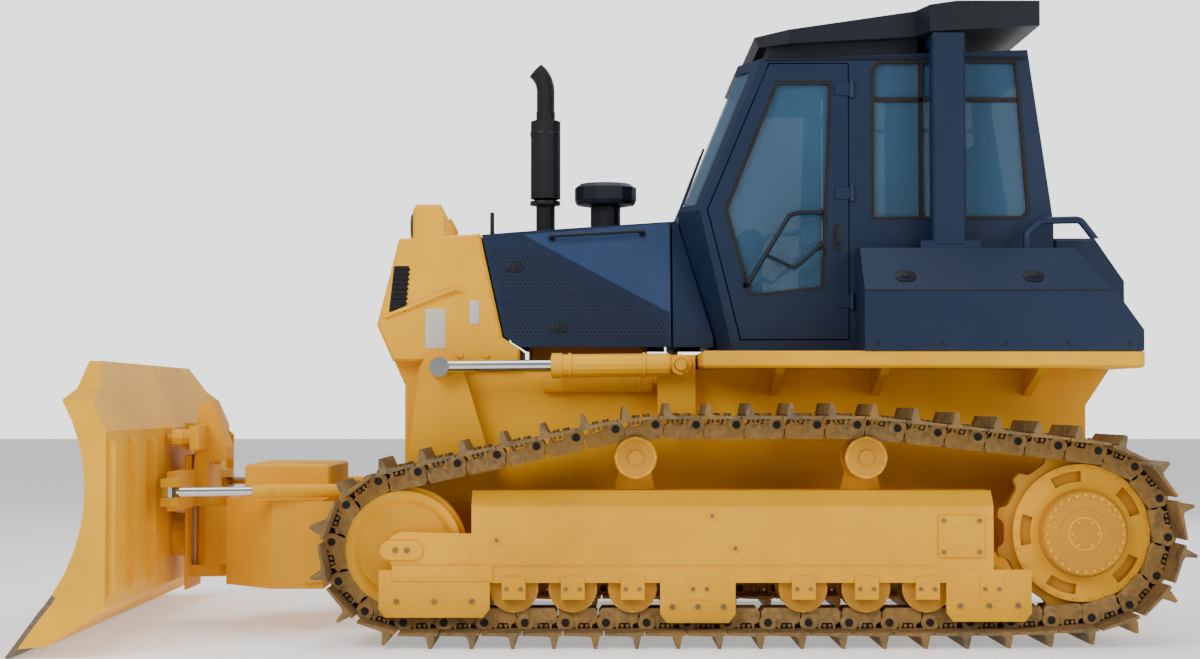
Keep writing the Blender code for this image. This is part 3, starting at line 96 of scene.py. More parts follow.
LIGHTS = (  # name, place, what it looks at, size and watts
    ("key", (-6.0, -9.0, 8.0), (0.0, 0.0, 1.2), 6.0, 980.0),
    ("fill", (7.5, -8.0, 4.5), (0.3, 0.0, 1.2), 6.0, 430.0),
    ("top", (0.0, 1.0, 9.5), (0.0, 0.0, 0.0), 7.0, 480.0),
    ("back", (3.0, 9.0, 6.0), (0.0, 0.0, 1.5), 6.0, 300.0),
)
for name, place, target, size, watts in LIGHTS:
    data = bpy.data.lights.new(name, "AREA")
    data.size = size
    data.energy = watts
    lamp = bpy.data.objects.new(name, data)
    lamp.location = place
    lamp.rotation_euler = (Vector(target) - Vector(place)).to_track_quat("-Z", "Y").to_euler()
    bpy.context.scene.collection.objects.link(lamp)
world = bpy.data.worlds.new("studio")
world.use_nodes = True
SEEN, SHED = 2.2, 0.42  # the world's strength to look at, and as a light
sky = world.node_tree.nodes["Background"]
sky.inputs["Color"].default_value = (0.96, 0.98, 1.0, 1.0)
path = world.node_tree.nodes.new("ShaderNodeLightPath")
strength = world.node_tree.nodes.new("ShaderNodeMapRange")
strength.inputs["To Min"].default_value = SHED
strength.inputs["To Max"].default_value = SEEN
world.node_tree.links.new(path.outputs["Is Camera Ray"], strength.inputs["Value"])
world.node_tree.links.new(strength.outputs["Result"], sky.inputs["Strength"])
bpy.context.scene.world = world

# %% [markdown]
# ## Paint, dust and steel
# Site machines wear three layers: enamel, fine ochre dust that settles low down and on ledges, and bare or rusty
# metal where stones rub. Each finish here mixes its own colour with dust, and the dust grows towards the ground.
# All patterns read Object coordinates, which are the machine's own metres, so they match from piece to piece.

# %% A small kit for node materials
DUST = (0.36, 0.19, 0.045, 1.0)


class Recipe:
    """A material whose nodes are added one by one."""

    def __init__(self, name, roughness=0.5, metallic=0.0):
        self.material = bpy.data.materials.new(name)
        self.material.use_nodes = True
        self.tree = self.material.node_tree
        self.shader = self.tree.nodes["Principled BSDF"]
        self.shader.inputs["Roughness"].default_value = roughness
        self.shader.inputs["Metallic"].default_value = metallic
        self.place = self.tree.nodes.new("ShaderNodeTexCoord").outputs["Object"]

    def link(self, source, socket):
        self.tree.links.new(source, socket)

    def noise(self, scale, detail=4.0, roughness=0.55, stretch=(1.0, 1.0, 1.0)):
        mapping = self.tree.nodes.new("ShaderNodeMapping")
        mapping.inputs["Scale"].default_value = stretch
        self.link(self.place, mapping.inputs["Vector"])
        node = self.tree.nodes.new("ShaderNodeTexNoise")
        node.inputs["Scale"].default_value = scale
        node.inputs["Detail"].default_value = detail
        node.inputs["Roughness"].default_value = roughness
        self.link(mapping.outputs["Vector"], node.inputs["Vector"])
        return node.outputs["Fac"]

    def height(self):
        parts = self.tree.nodes.new("ShaderNodeSeparateXYZ")
        self.link(self.place, parts.inputs["Vector"])
        return parts.outputs["Z"]

    def facing_up(self):
        geometry = self.tree.nodes.new("ShaderNodeNewGeometry")
        parts = self.tree.nodes.new("ShaderNodeSeparateXYZ")
        self.link(geometry.outputs["Normal"], parts.inputs["Vector"])
        return parts.outputs["Z"]

    def span(self, value, low, high, out_low=0.0, out_high=1.0):
        node = self.tree.nodes.new("ShaderNodeMapRange")
        for name, number in (("From Min", low), ("From Max", high), ("To Min", out_low), ("To Max", out_high)):
            node.inputs[name].default_value = number
        self.link(value, node.inputs["Value"])
        return node.outputs["Result"]

    def math(self, operation, first, second):
        node = self.tree.nodes.new("ShaderNodeMath")
        node.operation = operation
        for socket, value in zip(node.inputs, (first, second)):
            if isinstance(value, float):
                socket.default_value = value
            else:
                self.link(value, socket)
        return node.outputs["Value"]

    def blend(self, share, first, second):
        node = self.tree.nodes.new("ShaderNodeMix")
        node.data_type = "RGBA"
        self.link(share, node.inputs["Factor"])
        for socket, value in ((node.inputs[6], first), (node.inputs[7], second)):
            if isinstance(value, tuple):
                socket.default_value = value
            else:
                self.link(value, socket)
        return node.outputs[2]

    def bump(self, height, strength, distance):
        node = self.tree.nodes.new("ShaderNodeBump")
        node.inputs["Strength"].default_value = strength
        node.inputs["Distance"].default_value = distance
        self.link(height, node.inputs["Height"])
        self.link(node.outputs["Normal"], self.shader.inputs["Normal"])


def rgba(colour, share=1.0):
    return tuple(min(1.0, channel * share) for channel in colour) + (1.0,)


# %% [markdown]
# Paint: a base colour with a slow drift, a speckle of small chips, and dust. The dust's share is a noise that is
# lifted where the surface faces up and where it stands low over the ground.


# %% Enamel with dust
def enamel(name, colour, roughness, dusty, reach, chips=0.0, metallic=0.0, top_dust=0.35):
    """Paint of this colour. Dust covers a share of it at the ground and fades out at the height reach."""
    recipe = Recipe(name, roughness, metallic)
    recipe.shader.inputs["Specular IOR Level"].default_value = 0.25
    drift = recipe.span(recipe.noise(1.6, 3.0), 0.3, 0.7)
    paint = recipe.blend(drift, rgba(colour, 0.86), rgba(colour, 1.12))
    low = recipe.span(recipe.height(), 0.05, reach, dusty, dusty * 0.12)
    patches = recipe.span(recipe.noise(5.5, 8.0, 0.62), 0.36, 0.66, 0.25, 1.0)
    ledge = recipe.span(recipe.facing_up(), 0.55, 1.0, 0.0, top_dust * dusty)
    share = recipe.math("MINIMUM", recipe.math("MULTIPLY", recipe.math("ADD", low, ledge), patches), 1.0)
    surface = recipe.blend(share, paint, DUST)
    if chips:
        marks = recipe.span(recipe.noise(38.0, 6.0, 0.7), 0.66, 0.70, 0.0, chips)
        surface = recipe.blend(marks, surface, (0.10, 0.075, 0.055, 1.0))
    recipe.link(surface, recipe.shader.inputs["Base Color"])
    rough = recipe.math("ADD", recipe.math("MULTIPLY", share, 0.4), roughness)
    recipe.link(rough, recipe.shader.inputs["Roughness"])
    recipe.bump(recipe.noise(120.0, 3.0), 0.12, 0.0008)
    return recipe.material


YELLOW = enamel("yellow_enamel", (0.84, 0.405, 0.0), 0.50, 0.10, 1.6, chips=0.2)
YELLOW_LOW = enamel("yellow_enamel_dusty", (0.80, 0.375, 0.0), 0.55, 0.22, 1.1, chips=0.4)
OCHRE = enamel("undercarriage_ochre", (0.56, 0.25, 0.010), 0.64, 0.5, 0.9, chips=0.6)
NAVY = enamel("navy_enamel", (0.0055, 0.0165, 0.046), 0.42, 0.05, 1.7, top_dust=0.3)
# Painted highlight: a lighter, greyer copy of the navy for the hood facet that catches the sky.
NAVY_SKY_HIGHLIGHT = enamel("navy_painted_sky_highlight", (0.020, 0.046, 0.115), 0.42, 0.05, 1.7, top_dust=0.3)
BLACK = enamel("black_satin", (0.005, 0.008, 0.014), 0.46, 0.05, 1.6, top_dust=0.3)
# Heatproof black on the exhaust and the pin ends. The same black is painted shade in the hood's holes and in the
# guard's vents.
SOOT_AND_HOLE_SHADE = enamel("heatproof_black_and_hole_shade", (0.006, 0.007, 0.010), 0.60, 0.04, 1.6)
DARK_HOSE = enamel("hose_rubber", (0.008, 0.008, 0.009), 0.62, 0.20, 1.2)

# %% [markdown]
# Steel of the tracks: the shoes are rust brown with dust, the rails are rubbed bright. Chrome rods and the
# scoured cutting edge are metals, so they carry a Metallic of nearly one and only their roughness varies.


# %% Steels
def steel(name, dark, light, roughness, metallic, dusty=0.5, scratch=(1.0, 1.0, 1.0), grain=26.0):
    recipe = Recipe(name, roughness, metallic)
    base = recipe.blend(recipe.span(recipe.noise(grain, 8.0, 0.65, scratch), 0.34, 0.66), rgba(dark), rgba(light))
    dust = recipe.span(recipe.noise(4.0, 8.0, 0.65), 0.42, 0.68, 0.0, dusty)
    recipe.link(recipe.blend(dust, base, DUST), recipe.shader.inputs["Base Color"])
    rough = recipe.math("ADD", recipe.math("MULTIPLY", dust, 0.5), roughness)
    recipe.link(rough, recipe.shader.inputs["Roughness"])
    recipe.bump(recipe.noise(160.0, 4.0), 0.25, 0.001)
    return recipe.material


SHOE_STEEL = steel("shoe_steel", (0.080, 0.058, 0.030), (0.22, 0.145, 0.060), 0.62, 0.35, 0.75)
LINK_STEEL = steel("link_steel", (0.15, 0.09, 0.028), (0.40, 0.235, 0.065), 0.62, 0.2, 0.8)
RUBBED_STEEL = steel("rubbed_steel", (0.20, 0.17, 0.13), (0.36, 0.31, 0.25), 0.34, 0.85, 0.3)
EDGE_STEEL = steel("scoured_steel", (0.10, 0.085, 0.065), (0.22, 0.19, 0.15), 0.36, 0.8, 0.35, (1.0, 1.0, 6.0))
CHROME = steel("chrome_rod", (0.50, 0.50, 0.50), (0.62, 0.62, 0.63), 0.14, 1.0, 0.06, (1.0, 1.0, 1.0), 60.0)
BOLT_STEEL = steel("bolt_steel", (0.12, 0.08, 0.035), (0.30, 0.19, 0.07), 0.5, 0.5, 0.5)

# %% [markdown]
# Glass is thin and tinted. The seat is woven cloth: two crossed waves a few millimetres apart raise the threads.


# %% Glass, cloth and plastic
def tinted_glass(name, colour, alpha):
    recipe = Recipe(name, 0.04)
    smear = recipe.span(recipe.noise(3.0, 5.0), 0.35, 0.7, 0.02, 0.06)
    recipe.link(smear, recipe.shader.inputs["Roughness"])
    tint = recipe.blend(recipe.span(recipe.noise(0.9, 2.0), 0.3, 0.7), rgba(colour, 0.85), rgba(colour, 1.2))
    recipe.link(tint, recipe.shader.inputs["Base Color"])
    recipe.shader.inputs["Alpha"].default_value = alpha
    recipe.shader.inputs["Specular IOR Level"].default_value = 0.7
    return recipe.material


def woven(name, colour, thread):
    recipe = Recipe(name, 0.92)
    waves = []
    for axis in ("X", "Z"):
        wave = recipe.tree.nodes.new("ShaderNodeTexWave")
        wave.bands_direction = axis
        wave.inputs["Scale"].default_value = 0.16 / thread
        recipe.link(recipe.place, wave.inputs["Vector"])
        waves.append(wave.outputs["Fac"])
    threads = recipe.math("MULTIPLY", waves[0], waves[1])
    recipe.link(recipe.blend(threads, rgba(colour, 0.6), rgba(colour, 1.6)), recipe.shader.inputs["Base Color"])
    recipe.bump(threads, 0.5, 0.001)
    recipe.shader.inputs["Sheen Weight"].default_value = 0.25
    return recipe.material


GLASS = tinted_glass("cab_glass", (0.028, 0.090, 0.165), 0.66)
LAMP_GLASS = tinted_glass("lamp_glass", (0.75, 0.78, 0.80), 0.35)
SEAT_CLOTH = woven("seat_cloth", (0.035, 0.036, 0.040), 0.004)
PLASTIC = enamel("grained_plastic", (0.020, 0.021, 0.024), 0.55, 0.10, 2.0)
BLANK_PLATE = enamel("blank_plate", (0.55, 0.53, 0.47), 0.45, 0.25, 1.6)

FINISH_OF_SLOT = {
    "yellow_paint": YELLOW,
    "dusty_yellow": OCHRE,
    "navy_paint": NAVY,
    "black_paint": BLACK,
    "worn_steel": SHOE_STEEL,
    "cast_iron": OCHRE,
    "chrome_rod": CHROME,
    "cutting_steel": EDGE_STEEL,
    "tinted_glass": GLASS,
    "seat_fabric": SEAT_CLOTH,
    "dark_plastic": PLASTIC,
}


def paint(node_name, material):
    """Gives a CAD node this material."""
    mesh = NODES[node_name].data
    mesh.materials.clear()
    mesh.materials.append(material)


for entry in frame["record"]["subparts"]:
    paint(entry["node"], FINISH_OF_SLOT[entry["material_slot"]])
for name in ("track_frame_left", "track_frame_right", "c_frame", "blade_carrier"):
    paint(name, YELLOW_LOW)
paint("exhaust_stack", SOOT_AND_HOLE_SHADE)
print("finishes:", len(bpy.data.materials))

# %% [markdown]
# ## Tools for building
# Four shapes make nearly everything on a machine like this: a bevelled box, a round bar between two points, a
# plate cut to an outline, and a ring spun from a profile. Each helper adds its shape to a bmesh, so that one
# object can hold a hundred bolts, and `piece` turns the bmesh into an object that rides on its body.


# %% Box, bar, plate and ring
def edges_of(verts):
    return list({edge for vert in verts for edge in vert.link_edges})


def rounded_edges(bm, edges, width, segments=2):
    bmesh.ops.bevel(
        bm, geom=edges, offset=width, segments=segments, profile=0.5, affect="EDGES", material=-1, clamp_overlap=True
    )


def box(bm, x, y, z, bevel=0.0):
    size = [pair[1] - pair[0] for pair in (x, y, z)]
    middle = [(pair[0] + pair[1]) / 2 for pair in (x, y, z)]
    place = Matrix.Translation(middle) @ Matrix.Diagonal((*size, 1.0))
    made = bmesh.ops.create_cube(bm, size=1.0, matrix=place)
    if bevel:
        rounded_edges(bm, edges_of(made["verts"]), bevel)


def bar(bm, start, end, radius, sides=24, bevel=0.0, end_radius=None):
    """A round bar between two points, or a cone if its end has another radius."""
    start, end = Vector(start), Vector(end)
    turn = (end - start).to_track_quat("Z", "Y").to_matrix().to_4x4()
    made = bmesh.ops.create_cone(
        bm,
        cap_ends=True,
        segments=sides,
        radius1=radius,
        radius2=radius if end_radius is None else end_radius,
        depth=(end - start).length,
        matrix=Matrix.Translation((start + end) / 2) @ turn,
    )
    if bevel:
        rims = [edge for edge in edges_of(made["verts"]) if any(len(face.verts) > 4 for face in edge.link_faces)]
        rounded_edges(bm, rims, bevel)


def plate(bm, outline, start, end, bevel=0.0, place=lambda u, v, depth: (u, depth, v)):
    """An outline pushed from one depth to another. It lies in side view, unless place says otherwise."""
    face = bm.faces.new([bm.verts.new(place(u, v, start)) for u, v in outline])
    pushed = bmesh.ops.extrude_face_region(bm, geom=[face])["geom"]
    verts = [item for item in pushed if isinstance(item, bmesh.types.BMVert)]
    bmesh.ops.translate(bm, vec=Vector(place(0.0, 0.0, end)) - Vector(place(0.0, 0.0, start)), verts=verts)
    if bevel:
        rims = [edge for edge in edges_of(verts) if all(vert in verts for vert in edge.verts)]
        rounded_edges(bm, rims + list(face.edges), bevel)


def ring(bm, profile, centre, side=1, steps=64):
    """A profile of (along y, radius) pairs spun about a crosswise axis through the centre."""
    verts = [bm.verts.new((centre[0], centre[1] + side * along, centre[2] + radius)) for along, radius in profile]
    edges = [bm.edges.new(pair) for pair in zip(verts, verts[1:])]
    spun = bmesh.ops.spin(
        bm, geom=verts + edges, cent=centre, axis=(0, 1, 0), angle=2 * math.pi, steps=steps, use_merge=True
    )
    bmesh.ops.remove_doubles(bm, verts=bm.verts, dist=1e-5)
    return spun


def rim(bm, outline, width, start, end):
    """A flat frame just inside an outline, such as a window's rubber. It lies in side view."""
    before = set(bm.faces)
    face = bm.faces.new([bm.verts.new((u, start, v)) for u, v in outline])
    face.normal_update()
    frame_faces = bmesh.ops.inset_region(bm, faces=[face], thickness=width, use_boundary=True)["faces"]
    middle = [face for face in bm.faces if face not in before and face not in frame_faces]
    bmesh.ops.delete(bm, geom=middle, context="FACES_ONLY")
    pushed = bmesh.ops.extrude_face_region(bm, geom=frame_faces)["geom"]
    verts = [item for item in pushed if isinstance(item, bmesh.types.BMVert)]
    bmesh.ops.translate(bm, vec=(0, end - start, 0), verts=verts)


def tube(bm, points, radius, sides=12):
    """A bent round bar: straight runs with a ball in each bend."""
    for a, b in zip(points, points[1:]):
        bar(bm, a, b, radius, sides)
    for point in points[1:-1]:
        bmesh.ops.create_uvsphere(
            bm, u_segments=sides, v_segments=8, radius=radius, matrix=Matrix.Translation(Vector(point))
        )


def oblong(centre, half_length, radius, turn=0.0, steps=8):
    """The outline of a bar with round ends, in side view."""
    made = []
    for sign in (1, -1):
        for step in range(steps + 1):
            angle = math.pi * (step / steps - 0.5) + (0.0 if sign > 0 else math.pi)
            u = sign * half_length + radius * math.cos(angle)
            v = radius * math.sin(angle)
            made.append(
                (
                    centre[0] + u * math.cos(turn) - v * math.sin(turn),
                    centre[1] + u * math.sin(turn) + v * math.cos(turn),
                )
            )
    return made


def piece(name, bm, material, body="chassis", smooth=35.0, replaces=()):
    bmesh.ops.recalc_face_normals(bm, faces=bm.faces)
    mesh = bpy.data.meshes.new(name)
    bm.to_mesh(mesh)
    bm.free()
    mesh.materials.append(material)
    mesh.shade_smooth()
    mesh.set_sharp_from_angle(angle=math.radians(smooth))
    made = bpy.data.objects.new(name, mesh)
    bpy.context.scene.collection.objects.link(made)
    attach(made, body)
    if replaces:
        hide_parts(*replaces)
    print(name, len(mesh.polygons), "faces")
    return made

# %% [markdown]
# ## Tracks
# A track is a chain of forged links joined by pins, with a shoe bolted to each pair. The pins lie evenly along the
# line that a tight belt would take round the idler, the carrier rollers, the sprocket and the bottom rollers. That
# belt is a convex hull, so the line comes from the hull of a few circles, and the pins are stepped along it.

# %% Where the track pins are
from mathutils.geometry import convex_hull_2d

TRACK_MIDDLE = 0.95  # from the machine's middle to a track's
PIN_HEIGHT = 0.066  # over the rail that the rollers run on
SHOE_COUNT = 46
ROUND, OCTAGON = 20, 8  # sides of the frame's own wheels, which these circles must match
SPROCKET = (2.195, 0.515)
IDLER = (-0.98, 0.4415)
CARRIERS = ((0.103, 0.869), (1.18, 0.869))
ROLLERS = tuple((x, 0.2625) for x in (-0.464, -0.19, 0.088, 0.40, 0.882, 1.175, 1.458, 1.756))
ROLLER_R, FLANGE_R, CARRIER_R, IDLER_R = 0.095, 0.113, 0.0865, 0.274
PIN_CIRCLE = 0.19 / (2 * math.sin(math.pi / 13))
WHEELS = (
    (*IDLER, IDLER_R, ROUND),
    (*SPROCKET, PIN_CIRCLE - PIN_HEIGHT, ROUND),
    *((x, z, CARRIER_R, OCTAGON) for x, z in CARRIERS),
    *((x, z, ROLLER_R, OCTAGON) for x, z in (ROLLERS[0], ROLLERS[-1])),
)
belt = []
for x, z, radius, sides in WHEELS:
    for step in range(sides):
        angle = math.pi / 2 + 2 * math.pi * step / sides
        belt.append((x + (radius + PIN_HEIGHT) * math.cos(angle), z + (radius + PIN_HEIGHT) * math.sin(angle)))
line = [Vector(belt[i]) for i in convex_hull_2d(belt)]
runs = list(zip(line, line[1:] + line[:1]))
pitch = sum((b - a).length for a, b in runs) / SHOE_COUNT
pins, travelled = [], 0.0
for a, b in runs:
    while len(pins) < SHOE_COUNT and len(pins) * pitch < travelled + (b - a).length - 1e-9:
        pins.append(a.lerp(b, (len(pins) * pitch - travelled) / (b - a).length))
    travelled += (b - a).length
print("track pitch", round(pitch, 4), "m,", len(pins), "pins")

# %% [markdown]
# One shoe is a plate with a single tall grouser, drawn as a profile and pushed across the track's width. One link
# is a waisted bar with a round eye at each pin. Both are drawn along the line from one pin to the next.

# %% Shoes, links, pins and bolts
SHOE_HALF = 0.30
LINK_TOP = 0.029  # over the pins, where the shoe sits
SHOE_TOP = 0.044
GROUSER_TOP = 0.1015
RAIL = (0.047, 0.093)
EYE_R, BUSHING_R, PIN_R = 0.041, 0.030, 0.019
BOLT_ROWS = ((0.20, -0.075), (0.20, 0.075), (0.46, -0.075), (0.46, 0.075))  # share of the pitch, and across


def shoe_profile(length):
    tip = 0.66 * length + 0.022
    return [
        (-0.04 * length, LINK_TOP + 0.001),
        (0.93 * length, LINK_TOP - 0.002),
        (0.93 * length, SHOE_TOP - 0.004),
        (0.82 * length, SHOE_TOP),
        (tip + 0.012, SHOE_TOP + 0.006),
        (tip, GROUSER_TOP),
        (tip - 0.014, GROUSER_TOP - 0.001),
        (tip - 0.026, SHOE_TOP + 0.006),
        (0.55 * length, SHOE_TOP),
        (-0.04 * length, SHOE_TOP - 0.003),
    ]


def link_profile(length):
    return [
        (-0.032, -0.046),
        (-0.018, -0.0655),
        (length - 0.050, -0.0655),
        (length - 0.038, -0.046),
        (length - 0.040, -0.004),
        (length - 0.062, 0.008),
        (length - 0.066, LINK_TOP),
        (0.56 * length + 0.012, LINK_TOP),
        (0.56 * length + 0.004, 0.002),
        (0.36 * length - 0.004, 0.002),
        (0.36 * length - 0.012, LINK_TOP),
        (0.050, LINK_TOP),
        (0.044, 0.020),
        (0.020, 0.036),
        (-0.032, 0.026),
    ]


def track(side, name):
    middle = side * TRACK_MIDDLE
    shoes, chain, bolts, ends = (bmesh.new() for _ in range(4))
    for a, b in zip(pins, pins[1:] + pins[:1]):
        along = (b - a).normalized()
        out = Vector((along.y, -along.x))
        length = (b - a).length

        def place(u, v, depth):
            return (a.x + along.x * u + out.x * v, middle + depth, a.y + along.y * u + out.y * v)

        plate(shoes, shoe_profile(length), -SHOE_HALF, SHOE_HALF, place=lambda u, v, d: place(u, v, d))
        for lateral in (-1, 1):
            rail = sorted((lateral * RAIL[0], lateral * RAIL[1]))
            plate(chain, link_profile(length), *rail, place=lambda u, v, d: place(u, v, d))
            eye = (lateral * (RAIL[0] - 0.004), lateral * (RAIL[1] + 0.006))
            bar(chain, place(0, 0, eye[0]), place(0, 0, eye[1]), EYE_R, 14)
            bar(ends, place(0, 0, eye[1]), place(0, 0, eye[1] + lateral * 0.003), PIN_R, 12)
            for share in (0.40, 0.53):
                nut = (place(share * length, 0.016, lateral * 0.052), place(share * length, 0.016, lateral * 0.090))
                bar(bolts, *nut, 0.009, 6)
        bar(chain, place(0, 0, -RAIL[0]), place(0, 0, RAIL[0]), BUSHING_R, 12)
        for share, across in BOLT_ROWS:
            foot = place(share * length, SHOE_TOP - 0.004, across)
            bar(bolts, foot, place(share * length, SHOE_TOP + 0.011, across), 0.015, 6)
    piece(f"track_shoes_{name}", shoes, SHOE_STEEL, smooth=20, replaces=(f"track_{name}",))
    piece(f"track_chain_{name}", chain, LINK_STEEL)
    piece(f"track_bolts_{name}", bolts, BOLT_STEEL, smooth=20)
    piece(f"track_pin_ends_{name}", ends, SOOT_AND_HOLE_SHADE, smooth=20)


for name, side in SIDES:
    track(side, name)

# %% [markdown]
# ## Wheels of the undercarriage
# The sprocket is a toothed rim on a dished disc with five long slots that let mud fall out, bolted round a final
# drive cover. A spun profile gives the dish, and a ring of faces with some taken out gives the slots.

# %% Sprockets
TEETH = 13
HUB_R, HUB_FACE = 0.205, 0.134
SLOT_RING = (0.204, 0.240, 0.290, 0.322)  # radii of the slotted disc's rows of faces
SLOT_STEPS = 60
TOOTH = (  # share of a tooth's pitch, and radius
    (-0.31, 0.360),
    (-0.22, 0.366),
    (-0.13, 0.392),
    (-0.08, 0.399),
    (0.08, 0.399),
    (0.13, 0.392),
    (0.22, 0.366),
    (0.31, 0.360),
)
HUB = [(0.0, 0.205), (0.110, 0.205), (0.122, 0.200), (0.134, 0.192), (0.134, 0.120), (0.130, 0.115), (0.130, 0.0)]


def sprocket(side, name):
    middle = side * TRACK_MIDDLE
    centre = Vector((SPROCKET[0], middle, SPROCKET[1]))
    body = bmesh.new()
    outline = []
    for tooth in range(TEETH):
        for share, radius in TOOTH:
            angle = 2 * math.pi * (tooth + share) / TEETH
            outline.append((centre.x + radius * math.cos(angle), centre.z + radius * math.sin(angle)))
    plate(body, outline, middle - 0.028, middle + 0.028, bevel=0.004)
    ring(body, [(-0.088, 0.0), (-0.088, 0.19), (-0.03, 0.27), (-0.004, 0.27), (-0.004, 0.0)], centre, side)
    ring(body, HUB, centre, side)
    piece(f"sprocket_wheel_{name}", body, OCHRE, replaces=(f"sprocket_{name}",))

    slotted = bmesh.new()
    verts = [slotted.verts.new(centre + Vector((0, side * 0.036, radius))) for radius in SLOT_RING]
    edges = [slotted.edges.new(pair) for pair in zip(verts, verts[1:])]
    bmesh.ops.spin(
        slotted, geom=verts + edges, cent=centre, axis=(0, 1, 0), angle=2 * math.pi, steps=SLOT_STEPS, use_merge=True
    )
    gone = []
    for face in slotted.faces:
        spoke = face.calc_center_median() - centre
        turn = math.degrees(math.atan2(spoke.z, spoke.x)) % 72.0
        if SLOT_RING[1] < math.hypot(spoke.x, spoke.z) < SLOT_RING[2] and 20.0 < turn < 46.0:
            gone.append(face)
    bmesh.ops.delete(slotted, geom=gone, context="FACES")
    bmesh.ops.recalc_face_normals(slotted, faces=slotted.faces)
    pushed = bmesh.ops.extrude_face_region(slotted, geom=slotted.faces[:])["geom"]
    moved = [item for item in pushed if isinstance(item, bmesh.types.BMVert)]
    bmesh.ops.translate(slotted, vec=(0, side * 0.022, 0), verts=moved)
    piece(f"sprocket_disc_{name}", slotted, YELLOW_LOW, smooth=25)

    bolts = bmesh.new()
    circles = ((28, 0.178, HUB_FACE, 0.0095), (26, 0.306, 0.058, 0.008), (6, 0.060, 0.130, 0.009))
    for count, radius, face, size in circles:
        for step in range(count):
            angle = 2 * math.pi * step / count
            foot = centre + Vector((radius * math.cos(angle), side * (face - 0.001), radius * math.sin(angle)))
            bar(bolts, foot, foot + Vector((0, side * 0.0085, 0)), size, 6)
    ring(bolts, [(0.128, 0.082), (0.1335, 0.078), (0.1335, 0.070), (0.129, 0.068)], centre, side, 48)
    piece(f"sprocket_bolts_{name}", bolts, YELLOW_LOW, smooth=25)


for name, side in SIDES:
    sprocket(side, name)

# %% [markdown]
# Idlers and rollers are plain turned wheels. The frame draws its rollers with eight sides, so a rounder sleeve of
# the same radius goes over each one, with its flanges and the cap of its shaft.

# %% Idlers and rollers
for name, side in SIDES:
    middle = side * TRACK_MIDDLE
    wheel = bmesh.new()
    centre = (IDLER[0], middle, IDLER[1])
    half = [(0.12, 0.0), (0.12, 0.074), (0.112, 0.082), (0.062, 0.09), (0.060, 0.215), (0.088, 0.238), (0.094, 0.248)]
    half += [(0.094, 0.270), (0.090, IDLER_R), (0.042, IDLER_R), (0.040, 0.290), (0.036, 0.2935)]
    ring(wheel, half + [(-along, radius) for along, radius in reversed(half)], centre, side)
    piece(f"idler_wheel_{name}", wheel, YELLOW_LOW, replaces=(f"idler_{name}",))

    sleeves = bmesh.new()
    for x, z in ROLLERS:
        profile = [(0.1155, 0.0), (0.1155, 0.104), (0.1135, FLANGE_R + 0.0008), (0.102, FLANGE_R + 0.0008)]
        profile += [(0.0995, 0.106), (0.0995, ROLLER_R + 0.0008)]
        ring(sleeves, profile + [(-a, r) for a, r in reversed(profile)], (x, middle, z), side, 32)
    for x, z in CARRIERS:
        profile = [(0.1285, 0.0), (0.1285, 0.034), (0.1155, 0.036), (0.1155, 0.086), (0.110, CARRIER_R + 0.0125)]
        profile += [(0.0995, CARRIER_R + 0.0125), (0.0995, CARRIER_R + 0.0008)]
        back = [(-a, r) for a, r in reversed(profile[2:])] + [(-0.1155, 0.0)]
        ring(sleeves, profile + back, (x, middle, z), side, 40)
    piece(f"roller_sleeves_{name}", sleeves, OCHRE)

# %% [markdown]
# ## Hood and radiator guard
# The engine doors are folded sheet: an upright front part, pierced with rows of small holes to let heat out, and a
# leaning part above the crease. The holes are not cut: small black discs, painted shade for the dark inside of each
# hole, are laid in rows inside the upright part's outline.

# %% Engine doors
HOOD_Y = 0.50
CREASE = (Vector((-0.46, 1.97)), Vector((0.60, 1.395)))  # in side view, from its start to its end
PIERCED = [(-0.605, 1.92), (-0.47, 1.935), (0.255, 1.545), (0.255, 1.43), (-0.45, 1.43), (-0.515, 1.475)]
PIERCED = [Vector(point) for point in PIERCED]
HOLE_PITCH, HOLE_R = 0.021, 0.0055
crease_way = (CREASE[1] - CREASE[0]).normalized()
crease_up = Vector((-crease_way.y, crease_way.x))


def hood_y(x, z):
    """Half the hood's width here: it leans in above the crease."""
    return HOOD_Y - 0.295 * max(0.0, (Vector((x, z)) - CREASE[0]).dot(crease_up))


def inside(outline, point):
    """Whether a point is inside an outline that turns clockwise and has no hollow corner."""
    return all((b - a).cross(point - a) < 0.0 for a, b in zip(outline, outline[1:] + outline[:1]))


for name, side in SIDES:
    holes = bmesh.new()
    rows = int(0.55 / HOLE_PITCH)
    for row in range(rows):
        for column in range(44):
            spot = Vector((-0.62 + (column + 0.5 * (row % 2)) * HOLE_PITCH, 1.42 + row * HOLE_PITCH * 0.87))
            if inside(PIERCED, spot):
                foot = Vector((spot.x, side * (HOOD_Y - 0.001), spot.y))
                bar(holes, foot, foot + Vector((0, side * 0.0015, 0)), HOLE_R, 6)
    # Painted shade: these black discs stand for the dark inside each hole.
    piece(f"hood_hole_shade_{name}", holes, SOOT_AND_HOLE_SHADE, f"engine_door_{name}")

    fittings = bmesh.new()
    for x, z in ((-0.268, 1.495), (-0.485, 1.795)):
        y = side * HOOD_Y
        plate(fittings, oblong((x, z), 0.022, 0.024), y, y + side * 0.006, bevel=0.002)
        bar(fittings, (x, y, z), (x, y + side * 0.013, z), 0.011, 16, bevel=0.003)
    ends = [Vector((x, side * (hood_y(x, z) - 0.004), z)) for x, z in ((-0.30, 1.935), (0.15, 1.965))]
    lifted = [end + Vector((0, side * 0.042, 0.012)) for end in ends]
    tube(fittings, [ends[0], *lifted, ends[1]], 0.008)
    for end in ends:
        bar(fittings, end - Vector((0, side * 0.004, 0)), end + Vector((0, side * 0.008, 0.002)), 0.018, 16)
    piece(f"hood_latches_{name}", fittings, BLACK, f"engine_door_{name}")
